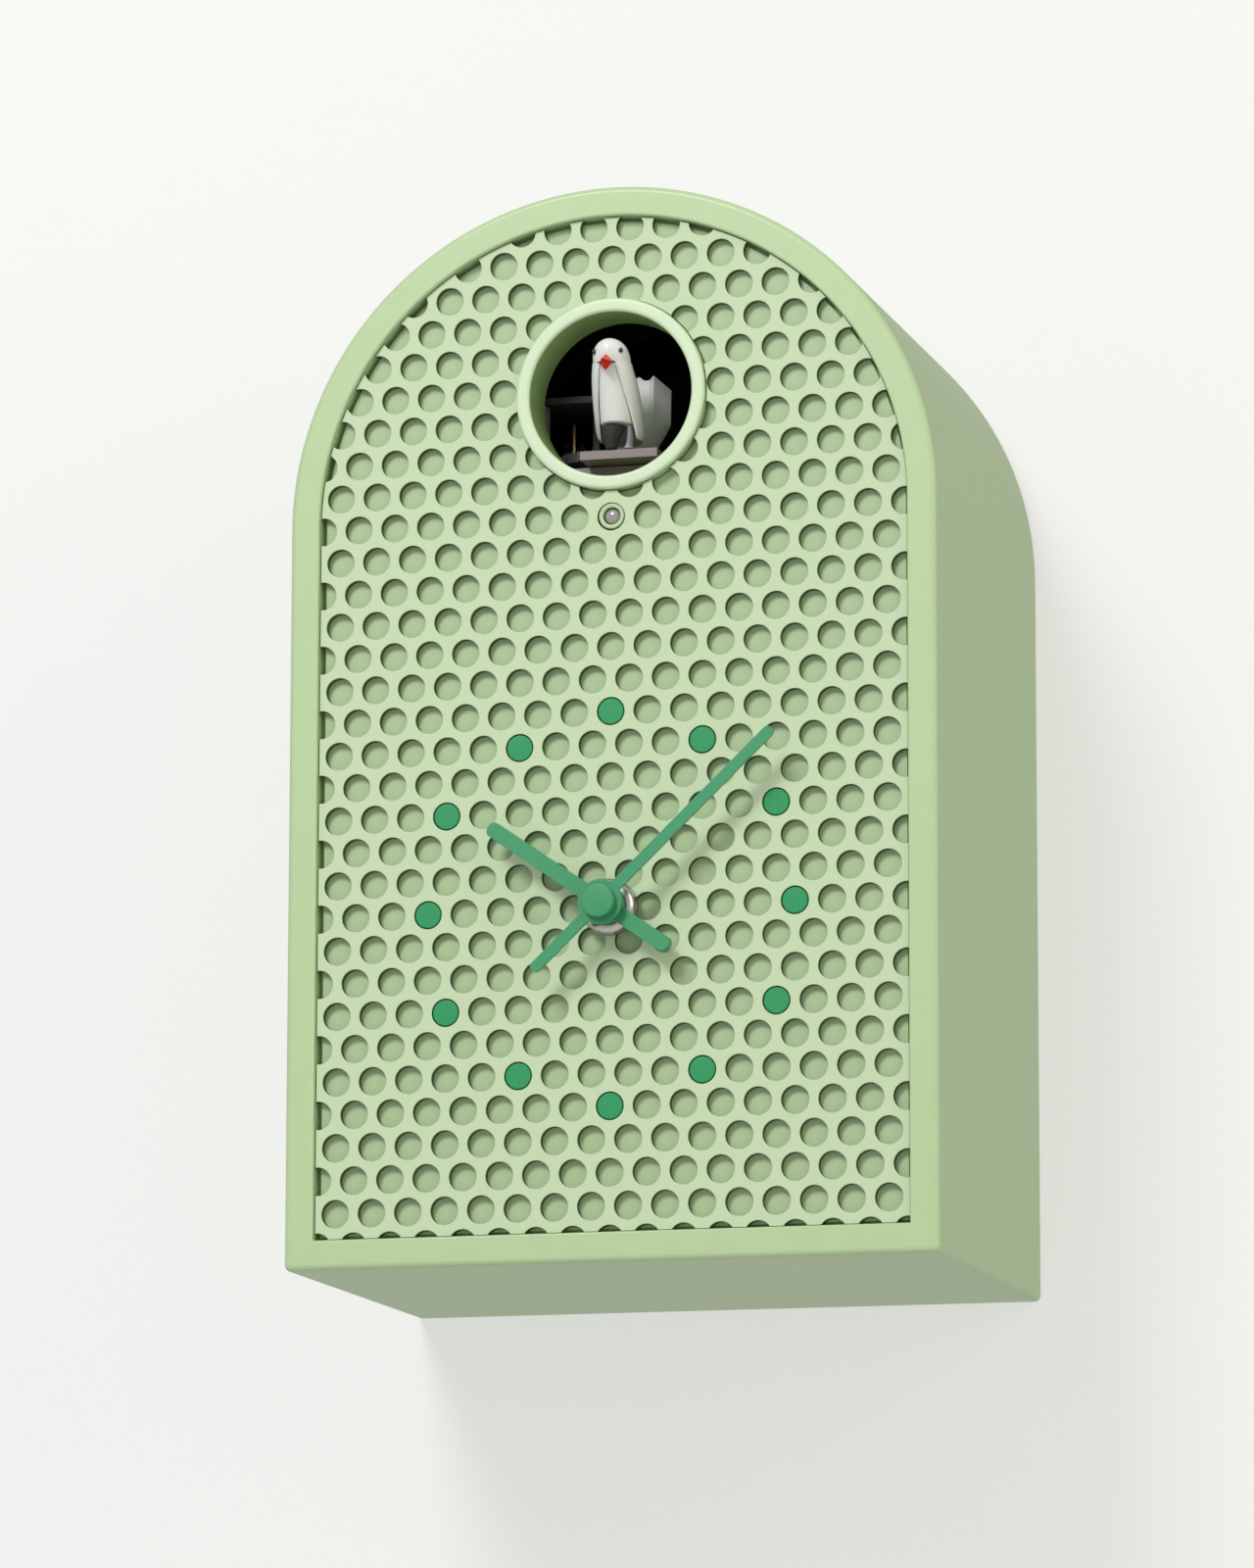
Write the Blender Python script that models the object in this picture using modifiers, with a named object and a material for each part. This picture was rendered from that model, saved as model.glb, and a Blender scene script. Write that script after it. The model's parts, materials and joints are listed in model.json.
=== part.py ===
"""Wall cuckoo clock: an arched box case with a perforated front, a round window with a bird on a
motor-driven slide, a quartz hand movement with its gear train, and a back with a battery bay.

Axes: +X right, +Y into the wall, +Z up. The origin is the centre of the case's flat underside.
"""

import math

import bmesh
import bpy
from mathutils import Euler, Matrix, Vector

MM = 0.001
GAP = 0.3 * MM             # left between two pieces that touch
RUNNING_CLEARANCE = 0.06 * MM   # radial, between a shaft and its bore

# Case
CASE_WIDTH = 200.0 * MM
CASE_HEIGHT = 325.0 * MM
CASE_DEPTH = 138.0 * MM
CASE_WALL = 9.0 * MM
CASE_EDGE_RADIUS = 1.8 * MM
CASE_ARC_STEPS = 32
LEDGE_WIDTH = 5.0 * MM     # ring inside the wall that the front and back panels sit on
LEDGE_DEPTH = 6.0 * MM

# Front panels
GRILLE_RECESS = 1.6 * MM   # from the rim's front to the grille's front
GRILLE_THICKNESS = 1.5 * MM
BACKING_THICKNESS = 3.0 * MM
BACKING_SIDE_GAP = 1.2 * MM
HOLE_DIAMETER = 8.5 * MM
HOLE_PITCH = 11.27 * MM
ROW_PITCH = 9.86 * MM

# Dial
HUB_HEIGHT = 105.5 * MM    # of the hands' axis above the underside
TIME_HOUR = 10
TIME_MINUTE = 7.75

# Window and collar
WINDOW_RISE = 36.0 * MM    # of the window's centre above the arch's centre
WINDOW_BORE = 50.3 * MM
COLLAR_WALL = 4.1 * MM
COLLAR_LENGTH = 17.0 * MM
COLLAR_PROUD = 2.0 * MM    # in front of the grille
COLLAR_MARGIN = 2.5 * MM   # between the collar and the backing panel's hole
COLLAR_FLANGE_WIDTH = 6.8 * MM
COLLAR_FLANGE_THICKNESS = 2.0 * MM

# Light sensor
SENSOR_DROP = 36.9 * MM    # below the window's centre
SENSOR_BUSH_WALL = 1.3 * MM
SENSOR_LENGTH = 9.0 * MM

# Hands and their stack on the front
BUSH_RADIUS = 3.9 * MM
BUSH_PROUD = 6.1 * MM      # in front of the grille
WASHER_THICKNESS = 0.8 * MM
NUT_RADIUS = 8.5 * MM
NUT_THICKNESS = 3.0 * MM
PIPE_RADIUS = 2.6 * MM
PIPE_PROUD = 9.8 * MM
SHAFT_RADIUS = 1.6 * MM
SHAFT_PROUD = 13.6 * MM
HOUR_HAND_PROUD = 7.2 * MM
MINUTE_HAND_PROUD = 10.6 * MM
CAP_PROUD = 14.7 * MM
HAND_THICKNESS = 1.2 * MM
HOUR_HAND_LENGTH = 43.0 * MM
HOUR_HAND_TAIL = 24.0 * MM
HOUR_HAND_WIDTH = 4.7 * MM
HOUR_HUB_RADIUS = 6.0 * MM
MINUTE_HAND_LENGTH = 72.0 * MM
MINUTE_HAND_TAIL = 28.5 * MM
MINUTE_HAND_WIDTH = 3.3 * MM
MINUTE_HUB_RADIUS = 6.7 * MM
CAP_RADIUS = 5.0 * MM

# Hand movement
MOVEMENT_SIDE = 56.0 * MM
MOVEMENT_DEPTH = 16.0 * MM
MOVEMENT_WALL = 1.5 * MM
MIDDLE_PLATE_THICKNESS = 0.8 * MM
TRAIN_MODULE = 0.5 * MM
CANNON_TEETH = 10
MINUTE_WHEEL_TEETH = 30
MINUTE_PINION_TEETH = 8
HOUR_WHEEL_TEETH = 32
CENTRE_WHEEL_TEETH = 48
THIRD_PINION_TEETH = 8
THIRD_WHEEL_TEETH = 40
ROTOR_PINION_TEETH = 8
WHEEL_THICKNESS = 1.0 * MM
PINION_LENGTH = 1.8 * MM
PIVOT_RADIUS = 0.8 * MM
ROTOR_RADIUS = 3.0 * MM
ROTOR_LENGTH = 2.6 * MM
COIL_RADIUS = 3.2 * MM
COIL_START = -4.0 * MM     # of the winding, from the hub's axis
COIL_END = 22.0 * MM
KNOB_RADIUS = 8.0 * MM
KNOB_THICKNESS = 2.8 * MM

# Bird drive, placed from the window's centre
BIRD_TRAVEL = 30.0 * MM
PLATFORM_DROP = 15.0 * MM
PLATFORM_THICKNESS = 2.6 * MM
PLATFORM_WIDTH = 0.477 * WINDOW_BORE   # so that it passes through the collar
PLATFORM_LENGTH = 23.0 * MM
PLATFORM_SETBACK = 8.0 * MM   # behind the grille's front
FRAME_FLOOR_DROP = 26.5 * MM
FRAME_WALL = 2.5 * MM
FRAME_LENGTH = 56.0 * MM
FRAME_LEFT = 34.0 * MM
FRAME_RIGHT = 20.0 * MM
POST_TOP_RISE = 2.0 * MM
BRIDGE_THICKNESS = 2.0 * MM
SLIDE_BLOCK_LENGTH = 12.0 * MM
SLIDE_BLOCK_WIDTH = 16.0 * MM
GUIDE_ROD_RADIUS = 1.5 * MM
GUIDE_ROD_DROP = 22.0 * MM
RACK_MODULE = 1.0 * MM
RACK_OFFSET = 10.0 * MM
RACK_PINION_TEETH = 10
DRIVE_MODULE = 0.7 * MM
DRIVE_GEAR_TEETH = 30
MOTOR_PINION_TEETH = 10
DRIVE_GEAR_THICKNESS = 3.0 * MM
DRIVE_SHAFT_RADIUS = 1.2 * MM
MOTOR_RADIUS = 7.2 * MM
SHELF_THICKNESS = 6.0 * MM
SHELF_LENGTH = 70.0 * MM

# Bird
BIRD_SETBACK = 9.0 * MM     # of the bird's feet behind the grille's front
BIRD_LEAN = 0.34            # forward, for each unit of height
BIRD_HEIGHT = 31.6 * MM
BIRD_LOWER_HEIGHT = 6.6 * MM
BIRD_HALF_WIDTH = 6.0 * MM
BIRD_HALF_DEPTH = 7.0 * MM
WING_THICKNESS = 1.8 * MM
WING_LENGTH = 25.0 * MM
WING_WIDTH = 11.0 * MM
WING_CLEARANCE = 0.6 * MM   # between a wing and the body
WING_PIVOT_RISE = 9.5 * MM
WING_SHOULDER = 1.0 * MM    # of the wing above its pivot
BEAK_LENGTH = 4.6 * MM
BEAK_HALF_WIDTH = 2.3 * MM
BEAK_RISE = 8.6 * MM       # of the beak's split above the window's centre
BEAK_UPPER_HEIGHT = 2.9 * MM
BEAK_LOWER_HEIGHT = 2.4 * MM
BEAK_TIP_RADIUS = 0.2 * MM
BEAK_SEAT = 0.94           # of the body's half depth, where the beak starts
BODY_FOOT_SHARE = 0.86     # of the half width, where the body's two halves meet
BODY_SHIN_SHARE = 0.68
BODY_SOLE_SHARE = 0.42
WING_TAPER = 0.45
WING_SWEEP = 0.18
TAIL_SETBACK = 14.0 * MM   # behind the bird's middle
TAIL_THICKNESS = 1.6 * MM
TAIL_HEIGHT = 20.0 * MM
TAIL_DIP = 2.5 * MM        # of the fan's top, in its middle
TAIL_HALF_WIDTH = 8.5 * MM
TAIL_FOOT_HALF_WIDTH = 2.2 * MM

# Back
COVER_THICKNESS = 3.0 * MM
COVER_SCREW_RADIUS = 1.5 * MM
COVER_SCREW_HEAD_RADIUS = 2.9 * MM
COVER_SCREW_LENGTH = 8.0 * MM
SPEAKER_RADIUS = 25.0 * MM
SPEAKER_DEPTH = 18.0 * MM
SPEAKER_RIM = 3.0 * MM
SPEAKER_CAP_RADIUS = 6.0 * MM
SPEAKER_CONE_DEPTH = 5.0 * MM
SPEAKER_MAGNET_RADIUS = 14.0 * MM
SPEAKER_DROP = 20.0 * MM    # below the window's centre
SPEAKER_SLOTS = 5
SPEAKER_SLOT_WIDTH = 3.0 * MM
CELL_RADIUS = 13.1 * MM
CELL_LENGTH = 50.0 * MM
BATTERY_HEIGHT = 70.0 * MM  # of the cells' axis above the underside
BATTERY_DOOR_TRAVEL = 34.0 * MM
TRAY_WALL = 1.8 * MM
DOOR_THICKNESS = 2.0 * MM
BOARD_WIDTH = 44.0 * MM
BOARD_HEIGHT = 56.0 * MM
BOARD_THICKNESS = 1.6 * MM
CONTROL_OFFSET = 52.0 * MM  # of the volume knob and switch, from the middle
VOLUME_HEIGHT = 150.0 * MM
VOLUME_RADIUS = 7.0 * MM
SWITCH_DROP = 26.0 * MM     # below the volume knob
SWITCH_TRAVEL = 2.0 * MM
HANGER_RISE = 62.0 * MM     # above the arch's centre
HANGER_WIDTH = 40.0 * MM
HANGER_HEIGHT = 26.0 * MM
HANGER_THICKNESS = 1.5 * MM
KEYHOLE_RADIUS = 5.0 * MM
KEYHOLE_SLOT_RADIUS = 2.4 * MM
KEYHOLE_SLOT_LENGTH = 8.0 * MM

# Worked-out places
FRONT = -CASE_DEPTH / 2
BACK = CASE_DEPTH / 2
ARCH_CENTRE = CASE_HEIGHT - CASE_WIDTH / 2
WINDOW_CENTRE = ARCH_CENTRE + WINDOW_RISE
SENSOR_HEIGHT = WINDOW_CENTRE - SENSOR_DROP
GRILLE_FRONT = FRONT + GRILLE_RECESS
GRILLE_BACK = GRILLE_FRONT + GRILLE_THICKNESS
BACKING_FRONT = GRILLE_BACK + GAP
BACKING_BACK = BACKING_FRONT + BACKING_THICKNESS
LEDGE_FRONT = BACKING_BACK + GAP
COLLAR_OUTER = WINDOW_BORE / 2 + COLLAR_WALL
MOVEMENT_FRONT = BACKING_BACK + GAP
MOVEMENT_BACK = MOVEMENT_FRONT + MOVEMENT_DEPTH
MOVEMENT_SPLIT = (MOVEMENT_FRONT + MOVEMENT_BACK) / 2
MINUTE_ANGLE = math.radians(TIME_MINUTE * 6)
HOUR_ANGLE = math.radians(TIME_HOUR * 30 + TIME_MINUTE / 2)
HUB = Vector((0, 0, HUB_HEIGHT))
WINDOW = Vector((0, 0, WINDOW_CENTRE))
BIRD_Y = GRILLE_FRONT + BIRD_SETBACK
COVER_FRONT = BACK - LEDGE_WIDTH - COVER_THICKNESS + GAP * 4
COVER_BACK = COVER_FRONT + COVER_THICKNESS
FRAME_FRONT = GRILLE_FRONT - COLLAR_PROUD + COLLAR_LENGTH + 2.4 * MM
FRAME_BACK = FRAME_FRONT + FRAME_LENGTH
FRAME_FLOOR = WINDOW_CENTRE - FRAME_FLOOR_DROP
SHELF_TOP = FRAME_FLOOR - FRAME_WALL - GAP
PLATFORM_TOP = WINDOW_CENTRE - PLATFORM_DROP
PLATFORM_FRONT = GRILLE_FRONT + PLATFORM_SETBACK
RACK_PINION_RADIUS = RACK_MODULE * RACK_PINION_TEETH / 2
DRIVE_AXIS = Vector((-RACK_OFFSET - RACK_PINION_RADIUS, PLATFORM_FRONT + PLATFORM_LENGTH + 6.4 * MM, 0))
MOTOR_DISTANCE = DRIVE_MODULE * (DRIVE_GEAR_TEETH + MOTOR_PINION_TEETH) / 2
MOTOR_DIRECTION = math.radians(135)
MOTOR_AXIS = DRIVE_AXIS + MOTOR_DISTANCE * Vector((math.cos(MOTOR_DIRECTION), math.sin(MOTOR_DIRECTION),
                                                   0))

TURN_TO = {"X": Euler((math.pi / 2, 0, math.pi / 2)), "Y": Euler((math.pi / 2, 0, 0)),
           "Z": Euler((0, 0, 0))}

for leftover in list(bpy.data.objects):
    bpy.data.objects.remove(leftover, do_unlink=True)
parts = bpy.data.collections.new("cuckoo_clock")
cutters = bpy.data.collections.new("cutters")
bpy.context.scene.collection.children.link(parts)
bpy.context.scene.collection.children.link(cutters)


def finish(name, colour, roughness, metallic=0.0):
    """A Principled BSDF material, made once for each name."""
    found = bpy.data.materials.get(name)
    if found:
        return found
    material = bpy.data.materials.new(name)
    material.use_nodes = True
    shader = material.node_tree.nodes["Principled BSDF"]
    shader.inputs["Base Color"].default_value = (*colour, 1)
    shader.inputs["Roughness"].default_value = roughness
    shader.inputs["Metallic"].default_value = metallic
    return material


LACQUER = finish("green_lacquer", (0.53, 0.68, 0.42), 0.45)
GRILLE_PAINT = finish("grille_paint", (0.62, 0.76, 0.50), 0.5)
DARK_GREEN = finish("dark_green", (0.05, 0.36, 0.15), 0.5)
HAND_GREEN = finish("hand_green", (0.08, 0.34, 0.17), 0.45)
STEEL = finish("steel", (0.62, 0.62, 0.60), 0.25, 1.0)
BRASS = finish("brass", (0.72, 0.55, 0.25), 0.3, 1.0)
BLACK_PLASTIC = finish("black_plastic", (0.02, 0.02, 0.02), 0.5)
GREY_PLASTIC = finish("grey_plastic", (0.25, 0.25, 0.26), 0.5)
MAUVE_PLASTIC = finish("mauve_plastic", (0.30, 0.23, 0.23), 0.5)
WHITE_PLASTIC = finish("white_plastic", (0.85, 0.85, 0.84), 0.4)
RED_PLASTIC = finish("red_plastic", (0.75, 0.02, 0.01), 0.35)
GEAR_PLASTIC = finish("gear_plastic", (0.78, 0.78, 0.74), 0.45)
COPPER = finish("copper_wire", (0.60, 0.24, 0.12), 0.35, 1.0)
BOARD_GREEN = finish("board_green", (0.02, 0.16, 0.07), 0.4)
WOOD_BOARD = finish("fibre_board", (0.36, 0.25, 0.15), 0.8)
CELL_WRAP = finish("cell_wrap", (0.06, 0.06, 0.07), 0.35)
SENSOR_GLASS = finish("sensor_glass", (0.35, 0.36, 0.35), 0.15)
FELT = finish("fibre_washer", (0.12, 0.12, 0.11), 0.8)


def place(name, mesh, material, origin=(0, 0, 0)):
    """A part object whose origin is `origin`; the mesh is already relative to it."""
    made = bpy.data.objects.new(name, mesh)
    made.location = origin
    if material is None:
        made.hide_render = True
        made.display_type = "WIRE"
        cutters.objects.link(made)
    else:
        mesh.materials.clear()
        mesh.materials.append(material)
        parts.objects.link(made)
    bpy.context.view_layer.update()
    return made


def extruded(name, outline, low, high, axis="Y", material=None, origin=(0, 0, 0)):
    """A flat outline given a thickness along an axis, from low to high, all relative to origin.

    The outline is (x, z) for axis Y, (x, y) for axis Z and (y, z) for axis X.
    """
    curve = bpy.data.curves.new(name, "CURVE")
    curve.dimensions = "2D"
    curve.fill_mode = "BOTH"
    curve.extrude = (high - low) / 2
    spline = curve.splines.new("POLY")
    spline.points.add(len(outline) - 1)
    for point, (u, v) in zip(spline.points, outline):
        point.co = (u, v, 0, 1)
    spline.use_cyclic_u = True
    drawn = bpy.data.objects.new(name + "_outline", curve)
    bpy.context.scene.collection.objects.link(drawn)
    drawn.rotation_euler = TURN_TO[axis]
    drawn.location["XYZ".index(axis)] = (low + high) / 2
    bpy.context.view_layer.update()
    mesh = bpy.data.meshes.new_from_object(drawn.evaluated_get(bpy.context.evaluated_depsgraph_get()))
    mesh.transform(drawn.matrix_world)
    bpy.data.objects.remove(drawn)
    weld(mesh)
    return place(name, mesh, material, origin)


def weld(mesh):
    """Joins the points that lie together and turns every face outward."""
    shape = bmesh.new()
    shape.from_mesh(mesh)
    bmesh.ops.remove_doubles(shape, verts=shape.verts, dist=1e-6)
    bmesh.ops.recalc_face_normals(shape, faces=shape.faces)
    shape.to_mesh(mesh)
    shape.free()


def box(name, low, high, material=None, origin=(0, 0, 0)):
    """A block between two corners."""
    low = Vector(low)
    high = Vector(high)
    shape = bmesh.new()
    bmesh.ops.create_cube(shape, size=1)
    size = Matrix.Diagonal((*(high - low), 1))
    bmesh.ops.transform(shape, matrix=Matrix.Translation((low + high) / 2) @ size, verts=shape.verts)
    mesh = bpy.data.meshes.new(name)
    shape.to_mesh(mesh)
    shape.free()
    return place(name, mesh, material, origin)


def rod(name, radius, low, high, axis="Y", material=None, origin=(0, 0, 0), sides=16, end_radius=None):
    """A cylinder or cone along an axis, from low to high; end_radius is the radius at high."""
    shape = bmesh.new()
    top = radius if end_radius is None else end_radius
    bmesh.ops.create_cone(shape, cap_ends=True, segments=sides, radius1=radius, radius2=top,
                          depth=high - low)
    turn = {"X": Matrix.Rotation(math.pi / 2, 4, "Y"), "Y": Matrix.Rotation(-math.pi / 2, 4, "X"),
            "Z": Matrix()}
    middle = Vector((0, 0, 0))
    middle["XYZ".index(axis)] = (low + high) / 2
    bmesh.ops.transform(shape, matrix=Matrix.Translation(middle) @ turn[axis], verts=shape.verts)
    mesh = bpy.data.meshes.new(name)
    shape.to_mesh(mesh)
    shape.free()
    return place(name, mesh, material, origin)


def turned(name, profile, material, origin=(0, 0, 0), steps=24, closed=True):
    """A profile of (radius, y) points turned about the Y axis. It runs back to front on its outer side."""
    mesh = bpy.data.meshes.new(name)
    count = len(profile)
    edges = [(i, (i + 1) % count) for i in range(count if closed else count - 1)]
    mesh.from_pydata([(radius, 0, along) for radius, along in profile], edges, [])
    made = place(name, mesh, material, origin)
    made.rotation_euler = (-math.pi / 2, 0, 0)
    screw = made.modifiers.new("turn", "SCREW")
    screw.steps = steps
    screw.render_steps = steps
    screw.use_merge_vertices = True
    screw.merge_threshold = 1e-6
    screw.use_smooth_shade = False
    bpy.context.view_layer.update()
    return made


def boolean(target, tool, operation):
    change = target.modifiers.new(tool.name, "BOOLEAN")
    change.operation = operation
    change.object = tool
    change.solver = "EXACT"


def cut(target, *tools):
    for tool in tools:
        boolean(target, tool, "DIFFERENCE")


def fuse(target, *tools):
    for tool in tools:
        boolean(target, tool, "UNION")


def soften(target, width, segments=2, angle=40):
    """Rounds the edges sharper than an angle."""
    bevel = target.modifiers.new("soften", "BEVEL")
    bevel.width = width
    bevel.segments = segments
    bevel.limit_method = "ANGLE"
    bevel.angle_limit = math.radians(angle)


def arch_outline(inset, steps=CASE_ARC_STEPS):
    """The case's arched outline as (x, z) points, moved in from the outside by inset."""
    radius = CASE_WIDTH / 2 - inset
    arc = [math.pi * i / steps for i in range(steps + 1)]
    points = [(radius * math.cos(a), ARCH_CENTRE + radius * math.sin(a)) for a in arc]
    return points + [(-radius, inset), (radius, inset)]


def half_width_at(height, inset):
    """Half the width inside the arched outline at a height."""
    radius = CASE_WIDTH / 2 - inset
    over = max(height - ARCH_CENTRE, 0)
    return math.sqrt(radius ** 2 - over ** 2)


def gear_outline(teeth, module, first):
    """Tapered teeth round a circle; the middle of one tooth is at the angle `first`."""
    root = module * (teeth / 2 - 1.1)
    tip = module * (teeth / 2 + 0.85)
    step = 2 * math.pi / teeth
    points = []
    for tooth in range(teeth):
        middle = first + tooth * step
        for radius, share in ((root, -0.32), (tip, -0.11), (tip, 0.11), (root, 0.32)):
            angle = middle + share * step
            points.append((radius * math.cos(angle), radius * math.sin(angle)))
    return points


def meshing(direction, teeth):
    """The first-tooth angle of a gear whose tooth gap faces back along a direction."""
    return direction + math.pi + math.pi / teeth


def hand_outline(length, tail, width, hub_radius, angle):
    """A parallel hand with round ends and a round hub, turned clockwise from 12 by angle."""
    half = width / 2
    ends = 6
    hub_half = math.asin(half / hub_radius)
    hub_steps = 8
    points = []
    for i in range(ends + 1):
        a = math.pi * i / ends
        points.append((half * math.cos(a), length - half + half * math.sin(a)))
    for i in range(hub_steps + 1):
        a = math.pi / 2 + hub_half + (math.pi - 2 * hub_half) * i / hub_steps
        points.append((hub_radius * math.cos(a), hub_radius * math.sin(a)))
    for i in range(ends + 1):
        a = math.pi + math.pi * i / ends
        points.append((half * math.cos(a), -tail + half + half * math.sin(a)))
    for i in range(hub_steps + 1):
        a = -math.pi / 2 + hub_half + (math.pi - 2 * hub_half) * i / hub_steps
        points.append((hub_radius * math.cos(a), hub_radius * math.sin(a)))
    c = math.cos(angle)
    s = math.sin(angle)
    return [(x * c + z * s, z * c - x * s) for x, z in points]


def marker_places():
    """The twelve hour marks as (x, z) from the hub, each on a hole of the staggered grid."""
    quarter = [(0, 6), (2.5, 5), (4.5, 3), (5, 0), (4.5, -3), (2.5, -5)]
    right = [(column * HOLE_PITCH, row * ROW_PITCH) for column, row in quarter]
    return right + [(-x, -z) for x, z in right]


def make_case():
    """The arched shell with its front and back ledges."""
    shell = extruded("case_shell", arch_outline(0), FRONT, BACK, material=LACQUER)
    soften(shell, CASE_EDGE_RADIUS)
    inner = arch_outline(CASE_WALL)
    through = arch_outline(CASE_WALL + LEDGE_WIDTH)
    past = 2 * MM
    back_ledge = COVER_FRONT - GAP
    cut(
        shell,
        extruded("case_through", through, FRONT - past, BACK + past),
        extruded("case_front_recess", inner, FRONT - past, LEDGE_FRONT),
        extruded("case_cavity", inner, LEDGE_FRONT + LEDGE_DEPTH, back_ledge - LEDGE_DEPTH),
        extruded("case_back_recess", inner, back_ledge, BACK + past),
    )
    for side in (-1, 1):
        x, z = cover_screw_place(side)
        cut(shell, rod(f"case_screw_hole_{side}", COVER_SCREW_RADIUS + GAP,
                       back_ledge - COVER_SCREW_LENGTH,
                       back_ledge + MM, origin=(x, 0, z), sides=12))


def cover_screw_place(side):
    """Where a back screw goes: in the ledge, at mid height of the straight sides."""
    return side * (CASE_WIDTH / 2 - CASE_WALL - LEDGE_WIDTH / 2 - GAP), ARCH_CENTRE / 2


def make_front():
    """The grille, the backing panel, the collar, the hour marks and the light sensor."""
    grille = extruded("dial_grille", arch_outline(CASE_WALL + GAP), GRILLE_FRONT, GRILLE_BACK,
                      material=GRILLE_PAINT)
    backing = extruded("backing_panel", arch_outline(CASE_WALL + BACKING_SIDE_GAP), BACKING_FRONT,
                       BACKING_BACK,
                       material=LACQUER)
    past = MM
    for number, (x, z) in enumerate(marker_places(), 1):
        at = (x, 0, HUB_HEIGHT + z)
        cut(grille, rod(f"marker_hole_{number:02d}", HOLE_DIAMETER / 2, GRILLE_FRONT - past,
                        GRILLE_BACK + past,
                        origin=at))
        rod(f"hour_marker_{(number - 1) or 12:02d}", HOLE_DIAMETER / 2 - GAP, GRILLE_FRONT + 0.1 * MM,
            GRILLE_BACK,
            origin=at, material=DARK_GREEN)
    for name, panel, low, high, hub_radius, window_radius in (
        ("grille", grille, GRILLE_FRONT, GRILLE_BACK, BUSH_RADIUS + GAP, COLLAR_OUTER + GAP),
        ("backing", backing, BACKING_FRONT, BACKING_BACK, BUSH_RADIUS + GAP,
         COLLAR_OUTER + COLLAR_MARGIN),
    ):
        cut(panel, rod(name + "_bush_hole", hub_radius, low - past, high + past, origin=HUB))
        cut(panel, rod(name + "_window_hole", window_radius, low - past, high + past, origin=WINDOW,
                       sides=32))
        cut(panel, rod(name + "_sensor_hole", HOLE_DIAMETER / 2, low - past, high + past,
                       origin=(0, 0, SENSOR_HEIGHT)))
    collar_front = GRILLE_FRONT - COLLAR_PROUD
    collar_back = collar_front + COLLAR_LENGTH
    bore = WINDOW_BORE / 2
    flange = COLLAR_OUTER + COLLAR_FLANGE_WIDTH
    flange_back = BACKING_BACK + GAP + COLLAR_FLANGE_THICKNESS
    edge = 0.6 * MM
    collar = turned("window_collar", [
        (bore, collar_back), (COLLAR_OUTER, collar_back), (COLLAR_OUTER, flange_back),
        (flange, flange_back),
        (flange, BACKING_BACK + GAP), (COLLAR_OUTER, BACKING_BACK + GAP),
        (COLLAR_OUTER, collar_front + edge),
        (COLLAR_OUTER - edge, collar_front), (bore + edge, collar_front), (bore, collar_front + edge),
    ], LACQUER, WINDOW, steps=32)
    ring = HOLE_DIAMETER / 2 - GAP
    ring_front = GRILLE_FRONT + 0.4 * MM
    ring_back = ring_front + SENSOR_LENGTH
    sensor_at = (0, 0, SENSOR_HEIGHT)
    inside = ring - SENSOR_BUSH_WALL
    cut(collar, rod("collar_sensor_notch", ring + MM + 2 * GAP, BACKING_BACK, flange_back + MM,
                    origin=sensor_at))
    turned("sensor_bush", [
        (inside, ring_back), (ring + MM, ring_back), (ring + MM, BACKING_BACK + GAP),
        (ring, BACKING_BACK + GAP),
        (ring, ring_front), (inside, ring_front),
    ], LACQUER, sensor_at, steps=16)
    turned("light_sensor", [
        (0, ring_back + 2 * MM), (inside - GAP, ring_back + 2 * MM),
        (inside - GAP, ring_front + 1.2 * MM),
        (inside * 0.6, ring_front + 0.6 * MM), (0, ring_front + 0.4 * MM),
    ], SENSOR_GLASS, sensor_at, steps=16, closed=False)


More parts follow.
